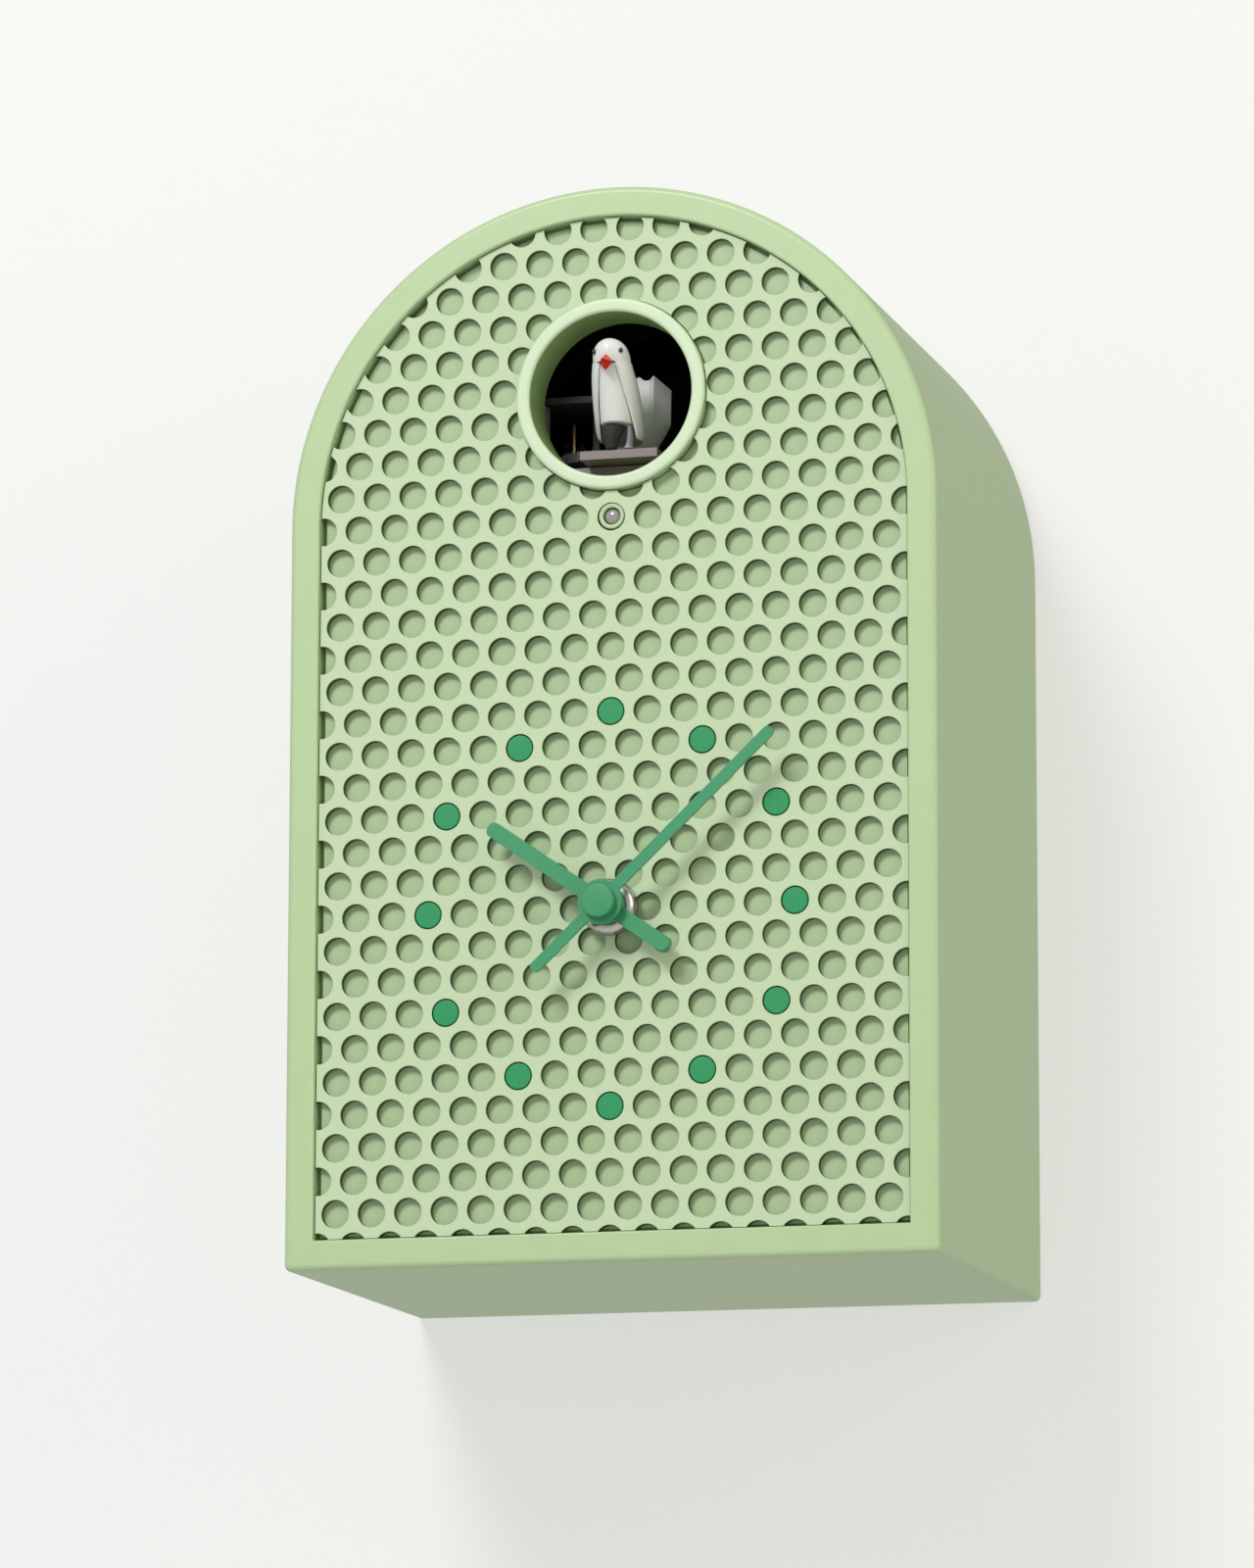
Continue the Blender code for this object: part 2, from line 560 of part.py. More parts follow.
def make_hands():
    """The two hands with their cap, and the nut and washer that hold the movement to the front."""
    front = GRILLE_FRONT
    turned("dial_washer", [
        (BUSH_RADIUS + GAP, front - GAP), (NUT_RADIUS, front - GAP),
        (NUT_RADIUS, front - GAP - WASHER_THICKNESS),
        (BUSH_RADIUS + GAP, front - GAP - WASHER_THICKNESS),
    ], FELT, HUB, steps=20)
    nut_back = front - 2 * GAP - WASHER_THICKNESS
    turned("dial_nut", [
        (BUSH_RADIUS + GAP, nut_back), (NUT_RADIUS, nut_back),
        (NUT_RADIUS, nut_back - NUT_THICKNESS * 0.75),
        (NUT_RADIUS - 0.8 * MM, nut_back - NUT_THICKNESS), (BUSH_RADIUS + GAP, nut_back - NUT_THICKNESS),
    ], STEEL, HUB, steps=24)
    hour = extruded("hour_hand",
                    hand_outline(HOUR_HAND_LENGTH, HOUR_HAND_TAIL, HOUR_HAND_WIDTH, HOUR_HUB_RADIUS,
                                              HOUR_ANGLE),
                    front - HOUR_HAND_PROUD - HAND_THICKNESS, front - HOUR_HAND_PROUD,
                    material=HAND_GREEN, origin=HUB)
    fuse(hour, rod("hour_hand_boss", HOUR_HUB_RADIUS, front - HOUR_HAND_PROUD - HAND_THICKNESS / 2,
                   nut_back - NUT_THICKNESS - GAP, origin=HUB))
    cut(
        hour,
        rod("hour_hand_hole", PIPE_RADIUS + GAP, front - CAP_PROUD, front, origin=HUB),
        rod("hour_hand_recess", BUSH_RADIUS + GAP, front - BUSH_PROUD - GAP, front, origin=HUB),
    )
    minute = extruded("minute_hand", hand_outline(MINUTE_HAND_LENGTH, MINUTE_HAND_TAIL, MINUTE_HAND_WIDTH,
                                                  MINUTE_HUB_RADIUS, MINUTE_ANGLE),
                      front - MINUTE_HAND_PROUD - HAND_THICKNESS, front - MINUTE_HAND_PROUD,
                      material=HAND_GREEN,
                      origin=HUB)
    cut(minute, rod("minute_hand_hole", SHAFT_RADIUS + GAP, front - CAP_PROUD, front, origin=HUB))
    cap_back = front - MINUTE_HAND_PROUD - HAND_THICKNESS - GAP
    cap_front = front - CAP_PROUD
    socket = front - SHAFT_PROUD - GAP
    turned("hand_cap", [
        (0, socket), (SHAFT_RADIUS + GAP, socket), (SHAFT_RADIUS + GAP, cap_back), (CAP_RADIUS, cap_back),
        (CAP_RADIUS, cap_front + 0.4 * MM), (CAP_RADIUS - 0.4 * MM, cap_front), (0, cap_front),
    ], HAND_GREEN, HUB, steps=24, closed=False)


def axis_at(direction, teeth_sum):
    """The (x, z) offset of a wheel in mesh, along a direction, in the hand train."""
    distance = TRAIN_MODULE * teeth_sum / 2
    return Vector((distance * math.cos(direction), 0, distance * math.sin(direction)))


MINUTE_WHEEL_DIRECTION = math.radians(90)
THIRD_WHEEL_DIRECTION = math.radians(180)
ROTOR_DIRECTION = math.radians(270)
MINUTE_WHEEL_AT = HUB + axis_at(MINUTE_WHEEL_DIRECTION, CANNON_TEETH + MINUTE_WHEEL_TEETH)
THIRD_WHEEL_AT = HUB + axis_at(THIRD_WHEEL_DIRECTION, CENTRE_WHEEL_TEETH + THIRD_PINION_TEETH)
ROTOR_AT = THIRD_WHEEL_AT + axis_at(ROTOR_DIRECTION, THIRD_WHEEL_TEETH + ROTOR_PINION_TEETH)


def train_gear(name, teeth, first, low, material=None, origin=HUB, length=WHEEL_THICKNESS):
    return extruded(name, gear_outline(teeth, TRAIN_MODULE, first), low, low + length, material=material,
                    origin=origin)


def make_movement():
    """The movement's two shells and middle plate, its wheels and coil, and the setting knob."""
    half = MOVEMENT_SIDE / 2
    wall = MOVEMENT_WALL
    front = MOVEMENT_FRONT
    back = MOVEMENT_BACK
    split = MOVEMENT_SPLIT
    inside_front = front + wall
    inside_back = back - wall
    plate_front = inside_front + 4.6 * MM
    plate_back = plate_front + MIDDLE_PLATE_THICKNESS
    hour_low = inside_front + 0.5 * MM
    pinion_low = hour_low - 0.2 * MM
    minute_low = hour_low + WHEEL_THICKNESS + MM
    cannon_low = minute_low - 0.4 * MM
    centre_low = plate_back + 0.5 * MM
    third_low = centre_low + WHEEL_THICKNESS + 0.9 * MM
    bush_front = GRILLE_FRONT - BUSH_PROUD

    case = box("movement_case", (-half, front, -half), (half, split - GAP / 2, half), BLACK_PLASTIC, HUB)
    cut(case, box("movement_case_inside", (wall - half, inside_front, wall - half),
                  (half - wall, split + MM, half - wall),
                  origin=HUB))
    fuse(case, rod("movement_bush", BUSH_RADIUS, bush_front, front + wall / 2, origin=HUB))
    cut(case, rod("movement_bush_bore", PIPE_RADIUS + RUNNING_CLEARANCE, bush_front - MM,
                  inside_front + MM,
                  origin=HUB, sides=24))
    cover = box("movement_cover", (-half, split + GAP / 2, -half), (half, back, half), BLACK_PLASTIC, HUB)
    cut(cover, box("movement_cover_inside", (wall - half, split - MM, wall - half),
                   (half - wall, inside_back, half - wall),
                   origin=HUB))
    rim = half - wall - GAP
    plate = box("middle_plate", (-rim, plate_front, -rim), (rim, plate_back, rim), GREY_PLASTIC, HUB)
    pivot_hole = PIVOT_RADIUS + RUNNING_CLEARANCE
    shaft_hole = SHAFT_RADIUS + RUNNING_CLEARANCE
    cut(plate, rod("plate_shaft_hole", shaft_hole, plate_front - MM, plate_back + MM, origin=HUB))
    cut(cover, rod("cover_shaft_hole", shaft_hole, inside_back - MM, back + MM, origin=HUB))
    for name, panel, at, low, high in (
        ("case_minute_pivot", case, MINUTE_WHEEL_AT, front - MM, inside_front + MM),
        ("plate_minute_pivot", plate, MINUTE_WHEEL_AT, plate_front - MM, plate_back + MM),
        ("plate_third_pivot", plate, THIRD_WHEEL_AT, plate_front - MM, plate_back + MM),
        ("cover_third_pivot", cover, THIRD_WHEEL_AT, inside_back - MM, back + MM),
        ("plate_rotor_pivot", plate, ROTOR_AT, plate_front - MM, plate_back + MM),
        ("cover_rotor_pivot", cover, ROTOR_AT, inside_back - MM, back + MM),
    ):
        cut(panel, rod(name, pivot_hole, low, high, origin=at, sides=12))

    shaft = rod("minute_shaft", SHAFT_RADIUS, GRILLE_FRONT - SHAFT_PROUD, back - 0.2 * MM,
                material=BRASS, origin=HUB)
    fuse(
        shaft,
        train_gear("cannon_pinion", CANNON_TEETH, MINUTE_WHEEL_DIRECTION, cannon_low,
                   length=PINION_LENGTH),
        train_gear("centre_wheel", CENTRE_WHEEL_TEETH, THIRD_WHEEL_DIRECTION, centre_low),
    )
    pipe_bore = SHAFT_RADIUS + RUNNING_CLEARANCE
    hour = rod("hour_wheel", PIPE_RADIUS, GRILLE_FRONT - PIPE_PROUD, hour_low + WHEEL_THICKNESS,
               material=BRASS,
               origin=HUB, sides=20)
    fuse(hour, train_gear("hour_wheel_teeth", HOUR_WHEEL_TEETH, MINUTE_WHEEL_DIRECTION, hour_low))
    cut(hour, rod("hour_wheel_bore", pipe_bore, GRILLE_FRONT - PIPE_PROUD - MM,
                  hour_low + 2 * WHEEL_THICKNESS,
                  origin=HUB, sides=20))
    minute = rod("minute_wheel", PIVOT_RADIUS, front + 0.2 * MM, plate_back - 0.2 * MM,
                 material=GEAR_PLASTIC,
                 origin=MINUTE_WHEEL_AT, sides=12)
    fuse(
        minute,
        train_gear("minute_wheel_teeth", MINUTE_WHEEL_TEETH,
                   meshing(MINUTE_WHEEL_DIRECTION, MINUTE_WHEEL_TEETH),
                   minute_low, origin=MINUTE_WHEEL_AT),
        train_gear("minute_pinion", MINUTE_PINION_TEETH,
                   meshing(MINUTE_WHEEL_DIRECTION, MINUTE_PINION_TEETH),
                   pinion_low, origin=MINUTE_WHEEL_AT,
                   length=minute_low - pinion_low + WHEEL_THICKNESS / 2),
    )
    third = rod("third_wheel", PIVOT_RADIUS, plate_front + 0.2 * MM, back - 0.2 * MM,
                material=GEAR_PLASTIC,
                origin=THIRD_WHEEL_AT, sides=12)
    fuse(
        third,
        train_gear("third_pinion", THIRD_PINION_TEETH, meshing(THIRD_WHEEL_DIRECTION, THIRD_PINION_TEETH),
                   centre_low - 0.1 * MM, origin=THIRD_WHEEL_AT,
                   length=third_low - centre_low + WHEEL_THICKNESS / 2),
        train_gear("third_wheel_teeth", THIRD_WHEEL_TEETH, ROTOR_DIRECTION, third_low,
                   origin=THIRD_WHEEL_AT),
    )
    rotor = rod("rotor", PIVOT_RADIUS, plate_front + 0.2 * MM, back - 0.2 * MM, material=GREY_PLASTIC,
                origin=ROTOR_AT, sides=12)
    magnet_low = third_low + WHEEL_THICKNESS + 0.4 * MM
    fuse(
        rotor,
        train_gear("rotor_pinion", ROTOR_PINION_TEETH, meshing(ROTOR_DIRECTION, ROTOR_PINION_TEETH),
                   third_low - 0.1 * MM, origin=ROTOR_AT, length=magnet_low - third_low + 0.3 * MM),
        rod("rotor_magnet", ROTOR_RADIUS, magnet_low, magnet_low + ROTOR_LENGTH, origin=ROTOR_AT),
    )
    coil_drop = half - wall - COIL_RADIUS - MM
    coil = rod("drive_coil", COIL_RADIUS, COIL_START, COIL_END, axis="X", material=COPPER, sides=12,
               origin=(0, plate_back + COIL_RADIUS + GAP, HUB_HEIGHT - coil_drop))
    cheek = COIL_RADIUS + 0.2 * MM
    for number, end in enumerate((COIL_START, COIL_END)):
        fuse(coil, box(f"coil_cheek_{number}", (end - MM, -cheek, -cheek), (end + MM, cheek, cheek),
                       origin=coil.location))

    knob = rod("setting_knob", SHAFT_RADIUS, back + GAP, COVER_BACK + GAP + KNOB_THICKNESS / 2,
               material=BLACK_PLASTIC,
               origin=HUB)
    fuse(knob, rod("setting_knob_head", KNOB_RADIUS, COVER_BACK + GAP, COVER_BACK + GAP + KNOB_THICKNESS,
                   origin=HUB, sides=20))


def make_bird_drive():
    """The shelf, the slide frame with its rod and bridge, the carriage with its rack, and the drive."""
    width = half_width_at(SHELF_TOP, CASE_WALL + GAP)
    box("mechanism_shelf", (-width, FRAME_FRONT, SHELF_TOP - SHELF_THICKNESS),
        (width, FRAME_FRONT + SHELF_LENGTH, SHELF_TOP), WOOD_BOARD)
    floor = FRAME_FLOOR
    wall = FRAME_WALL
    platform_bottom = PLATFORM_TOP - PLATFORM_THICKNESS
    post_top = WINDOW_CENTRE + POST_TOP_RISE
    wall_top = platform_bottom - 1.3 * GAP
    frame = box("mechanism_frame", (-FRAME_LEFT, FRAME_FRONT, floor - wall),
                (FRAME_RIGHT, FRAME_BACK, floor),
                MAUVE_PLASTIC)
    fuse(
        frame,
        box("frame_front_wall", (-FRAME_RIGHT, FRAME_FRONT, floor - wall / 2),
            (FRAME_RIGHT, FRAME_FRONT + wall, wall_top)),
        box("frame_back_wall", (-FRAME_RIGHT, FRAME_BACK - wall, floor - wall / 2),
            (FRAME_RIGHT, FRAME_BACK, wall_top)),
        box("frame_front_post", (-FRAME_LEFT + 6 * MM, FRAME_FRONT, floor - wall / 2),
            (-FRAME_LEFT + 6 * MM + wall, FRAME_FRONT + 2 * wall, post_top)),
        box("frame_back_post", (-FRAME_LEFT, FRAME_BACK - 2 * wall, floor - wall / 2),
            (-FRAME_LEFT + 2 * wall, FRAME_BACK, post_top)),
    )
    rod_height = WINDOW_CENTRE - GUIDE_ROD_DROP
    rod_at = (0, 0, rod_height)
    cut(frame, rod("frame_rod_hole", GUIDE_ROD_RADIUS + GAP, FRAME_FRONT - MM, FRAME_BACK + MM,
                   origin=rod_at,
                   sides=12))
    rod("guide_rod", GUIDE_ROD_RADIUS, FRAME_FRONT + 0.2 * MM, FRAME_BACK - 0.2 * MM, material=STEEL,
        origin=rod_at,
        sides=12)
    bridge = box("gear_bridge", (-FRAME_LEFT, FRAME_FRONT, post_top + GAP),
                 (-RACK_OFFSET, FRAME_BACK, post_top + GAP + BRIDGE_THICKNESS), BLACK_PLASTIC)
    for name, axis in (("drive", DRIVE_AXIS), ("motor", MOTOR_AXIS)):
        hole = DRIVE_SHAFT_RADIUS + RUNNING_CLEARANCE
        cut(bridge, rod(f"bridge_{name}_hole", hole, post_top, post_top + 3 * BRIDGE_THICKNESS, axis="Z",
                        origin=axis,
                        sides=12))
    cut(frame, rod("frame_drive_hole", DRIVE_SHAFT_RADIUS + RUNNING_CLEARANCE, floor - 2 * wall,
                   floor + MM,
                   axis="Z", origin=DRIVE_AXIS, sides=12))

    rack_root = RACK_OFFSET - RACK_MODULE * 1.1
    arm_front = PLATFORM_FRONT + PLATFORM_LENGTH
    arm_back = DRIVE_AXIS.y + BIRD_TRAVEL + 4 * MM
    pitch = math.pi * RACK_MODULE
    outline = [(rack_root - 3 * MM, arm_back), (-rack_root, arm_back)]
    first = DRIVE_AXIS.y + pitch / 2
    after = int((arm_back - first) / pitch - 0.4)
    before = int((first - arm_front) / pitch - 0.4)
    for tooth in range(after, -before - 1, -1):
        middle = first + tooth * pitch
        for reach, share in ((1.1, 0.32), (1.95, 0.11), (1.95, -0.11), (1.1, -0.32)):
            outline.append((-rack_root - (reach - 1.1) * RACK_MODULE * 1.95 / 0.85,
                            middle + share * pitch))
    half_platform = PLATFORM_WIDTH / 2
    outline += [(-rack_root, arm_front), (-half_platform, arm_front), (-half_platform, PLATFORM_FRONT),
                (half_platform, PLATFORM_FRONT), (half_platform, arm_front),
                (rack_root - 3 * MM, arm_front)]
    carriage = extruded("bird_carriage", outline, platform_bottom, PLATFORM_TOP, axis="Z",
                        material=MAUVE_PLASTIC)
    block_back = FRAME_FRONT + wall + BIRD_TRAVEL + MM + SLIDE_BLOCK_LENGTH
    block_half = SLIDE_BLOCK_WIDTH / 2
    fuse(carriage, box("slide_block", (-block_half, block_back - SLIDE_BLOCK_LENGTH, floor + MM),
                       (block_half, block_back, PLATFORM_TOP - PLATFORM_THICKNESS / 2)))
    cut(carriage, rod("slide_block_bore", GUIDE_ROD_RADIUS + RUNNING_CLEARANCE * 2, FRAME_FRONT,
                      FRAME_BACK,
                      origin=rod_at, sides=12))

    drive_low = platform_bottom - 0.4 * MM
    gear_low = PLATFORM_TOP + 1.5 * MM
    drive = rod("drive_gear", DRIVE_SHAFT_RADIUS, floor - wall + 0.2 * MM,
                post_top + GAP + BRIDGE_THICKNESS - 0.2 * MM,
                axis="Z", material=GREY_PLASTIC, origin=DRIVE_AXIS, sides=12)
    fuse(
        drive,
        extruded("rack_pinion", gear_outline(RACK_PINION_TEETH, RACK_MODULE, 0), drive_low,
                 gear_low + MM, axis="Z",
                 origin=DRIVE_AXIS),
        extruded("drive_gear_teeth", gear_outline(DRIVE_GEAR_TEETH, DRIVE_MODULE, MOTOR_DIRECTION),
                 gear_low,
                 gear_low + DRIVE_GEAR_THICKNESS, axis="Z", origin=DRIVE_AXIS),
    )
    motor_top = gear_low - 0.9 * MM
    rod("bird_motor", MOTOR_RADIUS, floor + GAP, motor_top, axis="Z", material=STEEL, origin=MOTOR_AXIS,
        sides=20)
    pinion = rod("motor_pinion", DRIVE_SHAFT_RADIUS, motor_top + GAP,
                 post_top + GAP + BRIDGE_THICKNESS - 0.2 * MM,
                 axis="Z", material=BRASS, origin=MOTOR_AXIS, sides=12)
    fuse(pinion, extruded("motor_pinion_teeth",
                          gear_outline(MOTOR_PINION_TEETH, DRIVE_MODULE,
                                       meshing(MOTOR_DIRECTION, MOTOR_PINION_TEETH)),
                          gear_low - 0.3 * MM, gear_low + DRIVE_GEAR_THICKNESS + 0.3 * MM, axis="Z",
                          origin=MOTOR_AXIS))


def upright(name, rings, material, origin, steps=14, depth_share=1.0):
    """A form turned about Z from (radius, height) rings, squeezed front to back by depth_share."""
    mesh = bpy.data.meshes.new(name)
    mesh.from_pydata([(radius, 0, height) for radius, height in rings],
                     [(i, i + 1) for i in range(len(rings) - 1)], [])
    guide = place(name + "_profile", mesh, None)
    screw = guide.modifiers.new("turn", "SCREW")
    screw.steps = steps
    screw.render_steps = steps
    screw.use_merge_vertices = True
    screw.merge_threshold = 1e-6
    bpy.context.view_layer.update()
    shape = bpy.data.meshes.new_from_object(guide.evaluated_get(bpy.context.evaluated_depsgraph_get()))
    bpy.data.objects.remove(guide)
    shape.transform(Matrix.Diagonal((1, depth_share, 1, 1)))
    weld(shape)
    return place(name, shape, material, origin)


def bird_front_at(height):
    """The y of the leaning bird's middle at a height."""
    return BIRD_Y - BIRD_LEAN * (height - PLATFORM_TOP - GAP)


def lean(piece):
    """Slides a bird part's levels forward in step with the body's slope, about its own origin."""
    slope = Matrix.Identity(4)
    slope[1][2] = -BIRD_LEAN
    piece.data.transform(slope)


def make_bird():
    """The bird on the carriage: body, dark lower body, two beak halves, two wings and the tail."""
    foot = PLATFORM_TOP + GAP
    base = Vector((0, BIRD_Y, foot))
    split = BIRD_LOWER_HEIGHT
    top = BIRD_HEIGHT
    wide = BIRD_HALF_WIDTH
    share = BIRD_HALF_DEPTH / BIRD_HALF_WIDTH
    lower = upright("bird_lower_body", [
        (0, split), (wide * BODY_FOOT_SHARE, split), (wide * BODY_SHIN_SHARE, split / 2),
        (wide * BODY_SOLE_SHARE, 0), (0, 0),
    ], GREY_PLASTIC, base, depth_share=share)
    body = [(0, top)]
    for i in range(1, 6):
        a = math.pi / 2 * i / 5
        body.append((wide * 0.9 * math.sin(a), top - wide * 1.1 * (1 - math.cos(a))))
    body += [(wide, split + (top - split) / 3), (wide * BODY_FOOT_SHARE, split + GAP), (0, split + GAP)]
    lean(lower)
    lean(upright("bird_body", body, WHITE_PLASTIC, base, depth_share=share))

    beak_height = WINDOW_CENTRE + BEAK_RISE
    beak_at = Vector((0, bird_front_at(beak_height) - BIRD_HALF_DEPTH * BEAK_SEAT - MM, beak_height))
    half = BEAK_HALF_WIDTH
    for name, tall, low, high in (
        ("beak_upper", BEAK_UPPER_HEIGHT, GAP / 2, 2 * BEAK_UPPER_HEIGHT),
        ("beak_lower", BEAK_LOWER_HEIGHT, -2 * BEAK_LOWER_HEIGHT, -GAP / 2),
    ):
        beak = rod(name, tall, 0, BEAK_LENGTH, axis="Y", material=RED_PLASTIC, origin=beak_at, sides=4,
                   end_radius=BEAK_TIP_RADIUS)
        beak.data.transform(Matrix.Rotation(math.pi, 4, "Z") @ Matrix.Diagonal((half / tall, 1, 1, 1)))
        keep = box(name + "_half", (-2 * half, -2 * BEAK_LENGTH, low), (2 * half, 2 * BEAK_LENGTH, high),
                   origin=beak_at)
        boolean(beak, keep, "INTERSECT")

    wing_x = BIRD_HALF_WIDTH + WING_CLEARANCE + WING_THICKNESS / 2
    for name, side in (("wing_left", -1), ("wing_right", 1)):
        pivot_height = WINDOW_CENTRE + WING_PIVOT_RISE
        pivot = Vector((side * wing_x, bird_front_at(pivot_height), pivot_height))
        steps = 12
        drop = []
        for i in range(steps):
            a = 2 * math.pi * i / steps
            down = (1 - math.sin(a)) / 2
            across = WING_WIDTH / 2 * math.cos(a) * (1 - WING_TAPER * down)
            drop.append((across + WING_WIDTH * WING_SWEEP * down, WING_SHOULDER - WING_LENGTH * down))
        lean(extruded(name, drop, -WING_THICKNESS / 2, WING_THICKNESS / 2, axis="X",
                      material=WHITE_PLASTIC, origin=pivot))

    fan = [
        (-TAIL_FOOT_HALF_WIDTH, 0), (TAIL_FOOT_HALF_WIDTH, 0), (TAIL_HALF_WIDTH, TAIL_HEIGHT * 0.85),
        (TAIL_HALF_WIDTH * 0.85, TAIL_HEIGHT), (0, TAIL_HEIGHT - TAIL_DIP),
        (-TAIL_HALF_WIDTH * 0.85, TAIL_HEIGHT), (-TAIL_HALF_WIDTH, TAIL_HEIGHT * 0.85),
    ]
    extruded("bird_tail", fan, -TAIL_THICKNESS / 2, TAIL_THICKNESS / 2, material=WHITE_PLASTIC,
             origin=(0, BIRD_Y + TAIL_SETBACK, foot))


def make_back():
    """The back cover with its screws and hanger, the battery bay, the speaker and the controls."""
    past = MM
    cover = extruded("back_cover", arch_outline(CASE_WALL + GAP), COVER_FRONT, COVER_BACK,
                     material=BLACK_PLASTIC)
    tray_half_x = CELL_LENGTH + 4 * MM
    tray_half_z = CELL_RADIUS + MM + TRAY_WALL
    opening_half_x = tray_half_x - TRAY_WALL
    opening_half_z = tray_half_z - TRAY_WALL
    at_battery = (0, 0, BATTERY_HEIGHT)
    cut(cover, box("cover_battery_opening", (-opening_half_x, COVER_FRONT - past, -opening_half_z),
                   (opening_half_x, COVER_BACK + past, opening_half_z), origin=at_battery))
    tray_back = COVER_FRONT - GAP
    tray_front = tray_back - 2 * CELL_RADIUS - TRAY_WALL - MM
    tray = box("battery_tray", (-tray_half_x, tray_front, -tray_half_z),
               (tray_half_x, tray_back, tray_half_z),
               BLACK_PLASTIC, at_battery)
    cut(tray, box("battery_tray_inside", (-opening_half_x, tray_front + TRAY_WALL, -opening_half_z),
                  (opening_half_x, tray_back + past, opening_half_z), origin=at_battery))
    cell_y = tray_front + TRAY_WALL + GAP + CELL_RADIUS
    nub = 1.4 * MM
    for number, start in ((1, -CELL_LENGTH - MM), (2, MM)):
        body_end = start + CELL_LENGTH - nub
        cell = rod(f"battery_{number}", CELL_RADIUS, start, body_end, axis="X", material=CELL_WRAP,
                   sides=16,
                   origin=(0, cell_y, BATTERY_HEIGHT))
        fuse(cell, rod(f"battery_nub_{number}", CELL_RADIUS * 0.3, body_end - MM, start + CELL_LENGTH,
                       axis="X", sides=12,
                       origin=cell.location))
    door_half_x = opening_half_x + 2 * MM
    door_half_z = opening_half_z + 2 * MM
    door = box("battery_door", (-door_half_x, COVER_BACK + GAP, -door_half_z),
               (door_half_x, COVER_BACK + GAP + DOOR_THICKNESS, door_half_z), BLACK_PLASTIC, at_battery)
    soften(door, 0.5 * MM, 1)

    cut(cover, rod("cover_setting_hole", SHAFT_RADIUS + 4 * GAP, COVER_FRONT - past, COVER_BACK + past,
                   origin=HUB))
    speaker_at = (0, 0, WINDOW_CENTRE - SPEAKER_DROP)
    slot_gap = 2 * SPEAKER_RADIUS * 0.8 / SPEAKER_SLOTS
    for number in range(SPEAKER_SLOTS):
        x = (number - (SPEAKER_SLOTS - 1) / 2) * slot_gap
        reach = math.sqrt((SPEAKER_RADIUS * 0.85) ** 2 - x ** 2)
        cut(cover, box(f"cover_sound_slot_{number}",
                       (x - SPEAKER_SLOT_WIDTH / 2, COVER_FRONT - past, -reach),
                       (x + SPEAKER_SLOT_WIDTH / 2, COVER_BACK + past, reach), origin=speaker_at))
    rim_back = COVER_FRONT - GAP
    cone_back = rim_back - SPEAKER_CONE_DEPTH
    turned("speaker", [
        (0, cone_back), (SPEAKER_CAP_RADIUS, cone_back), (SPEAKER_RADIUS - SPEAKER_RIM, rim_back - MM),
        (SPEAKER_RADIUS - 0.7 * SPEAKER_RIM, rim_back), (SPEAKER_RADIUS, rim_back),
        (SPEAKER_RADIUS, rim_back - 2 * MM), (SPEAKER_MAGNET_RADIUS, rim_back - 2 * SPEAKER_CONE_DEPTH),
        (SPEAKER_MAGNET_RADIUS, rim_back - SPEAKER_DEPTH), (0, rim_back - SPEAKER_DEPTH),
    ], GREY_PLASTIC, speaker_at, steps=20, closed=False)

    board_back = COVER_FRONT - 6 * MM
    control_mid = VOLUME_HEIGHT - SWITCH_DROP / 2
    box("sound_board", (-BOARD_WIDTH / 2, board_back - BOARD_THICKNESS, -BOARD_HEIGHT / 2),
        (BOARD_WIDTH / 2, board_back, BOARD_HEIGHT / 2), BOARD_GREEN, (-CONTROL_OFFSET, 0, control_mid))
    volume_at = (-CONTROL_OFFSET, 0, VOLUME_HEIGHT)
    stem = 3 * MM
    cut(cover, rod("cover_volume_hole", stem + GAP, COVER_FRONT - past, COVER_BACK + past,
                   origin=volume_at))
    volume = rod("volume_knob", stem, board_back + GAP, COVER_BACK + 2 * MM, material=BLACK_PLASTIC,
                 origin=volume_at)
    fuse(volume, rod("volume_knob_head", VOLUME_RADIUS, COVER_BACK + GAP,
                     COVER_BACK + GAP + KNOB_THICKNESS,
                     origin=volume_at, sides=20))
    switch_at = (-CONTROL_OFFSET, 0, VOLUME_HEIGHT - SWITCH_DROP)
    reach = 3 * MM
    cut(cover, box("cover_switch_slot", (-reach - SWITCH_TRAVEL - GAP, COVER_FRONT - past, -2.3 * MM),
                   (reach + SWITCH_TRAVEL + GAP, COVER_BACK + past, 2.3 * MM), origin=switch_at))
    box("mode_switch", (-reach, board_back + GAP, -2 * MM), (reach, COVER_BACK + 1.6 * MM, 2 * MM),
        GREY_PLASTIC,
        switch_at)

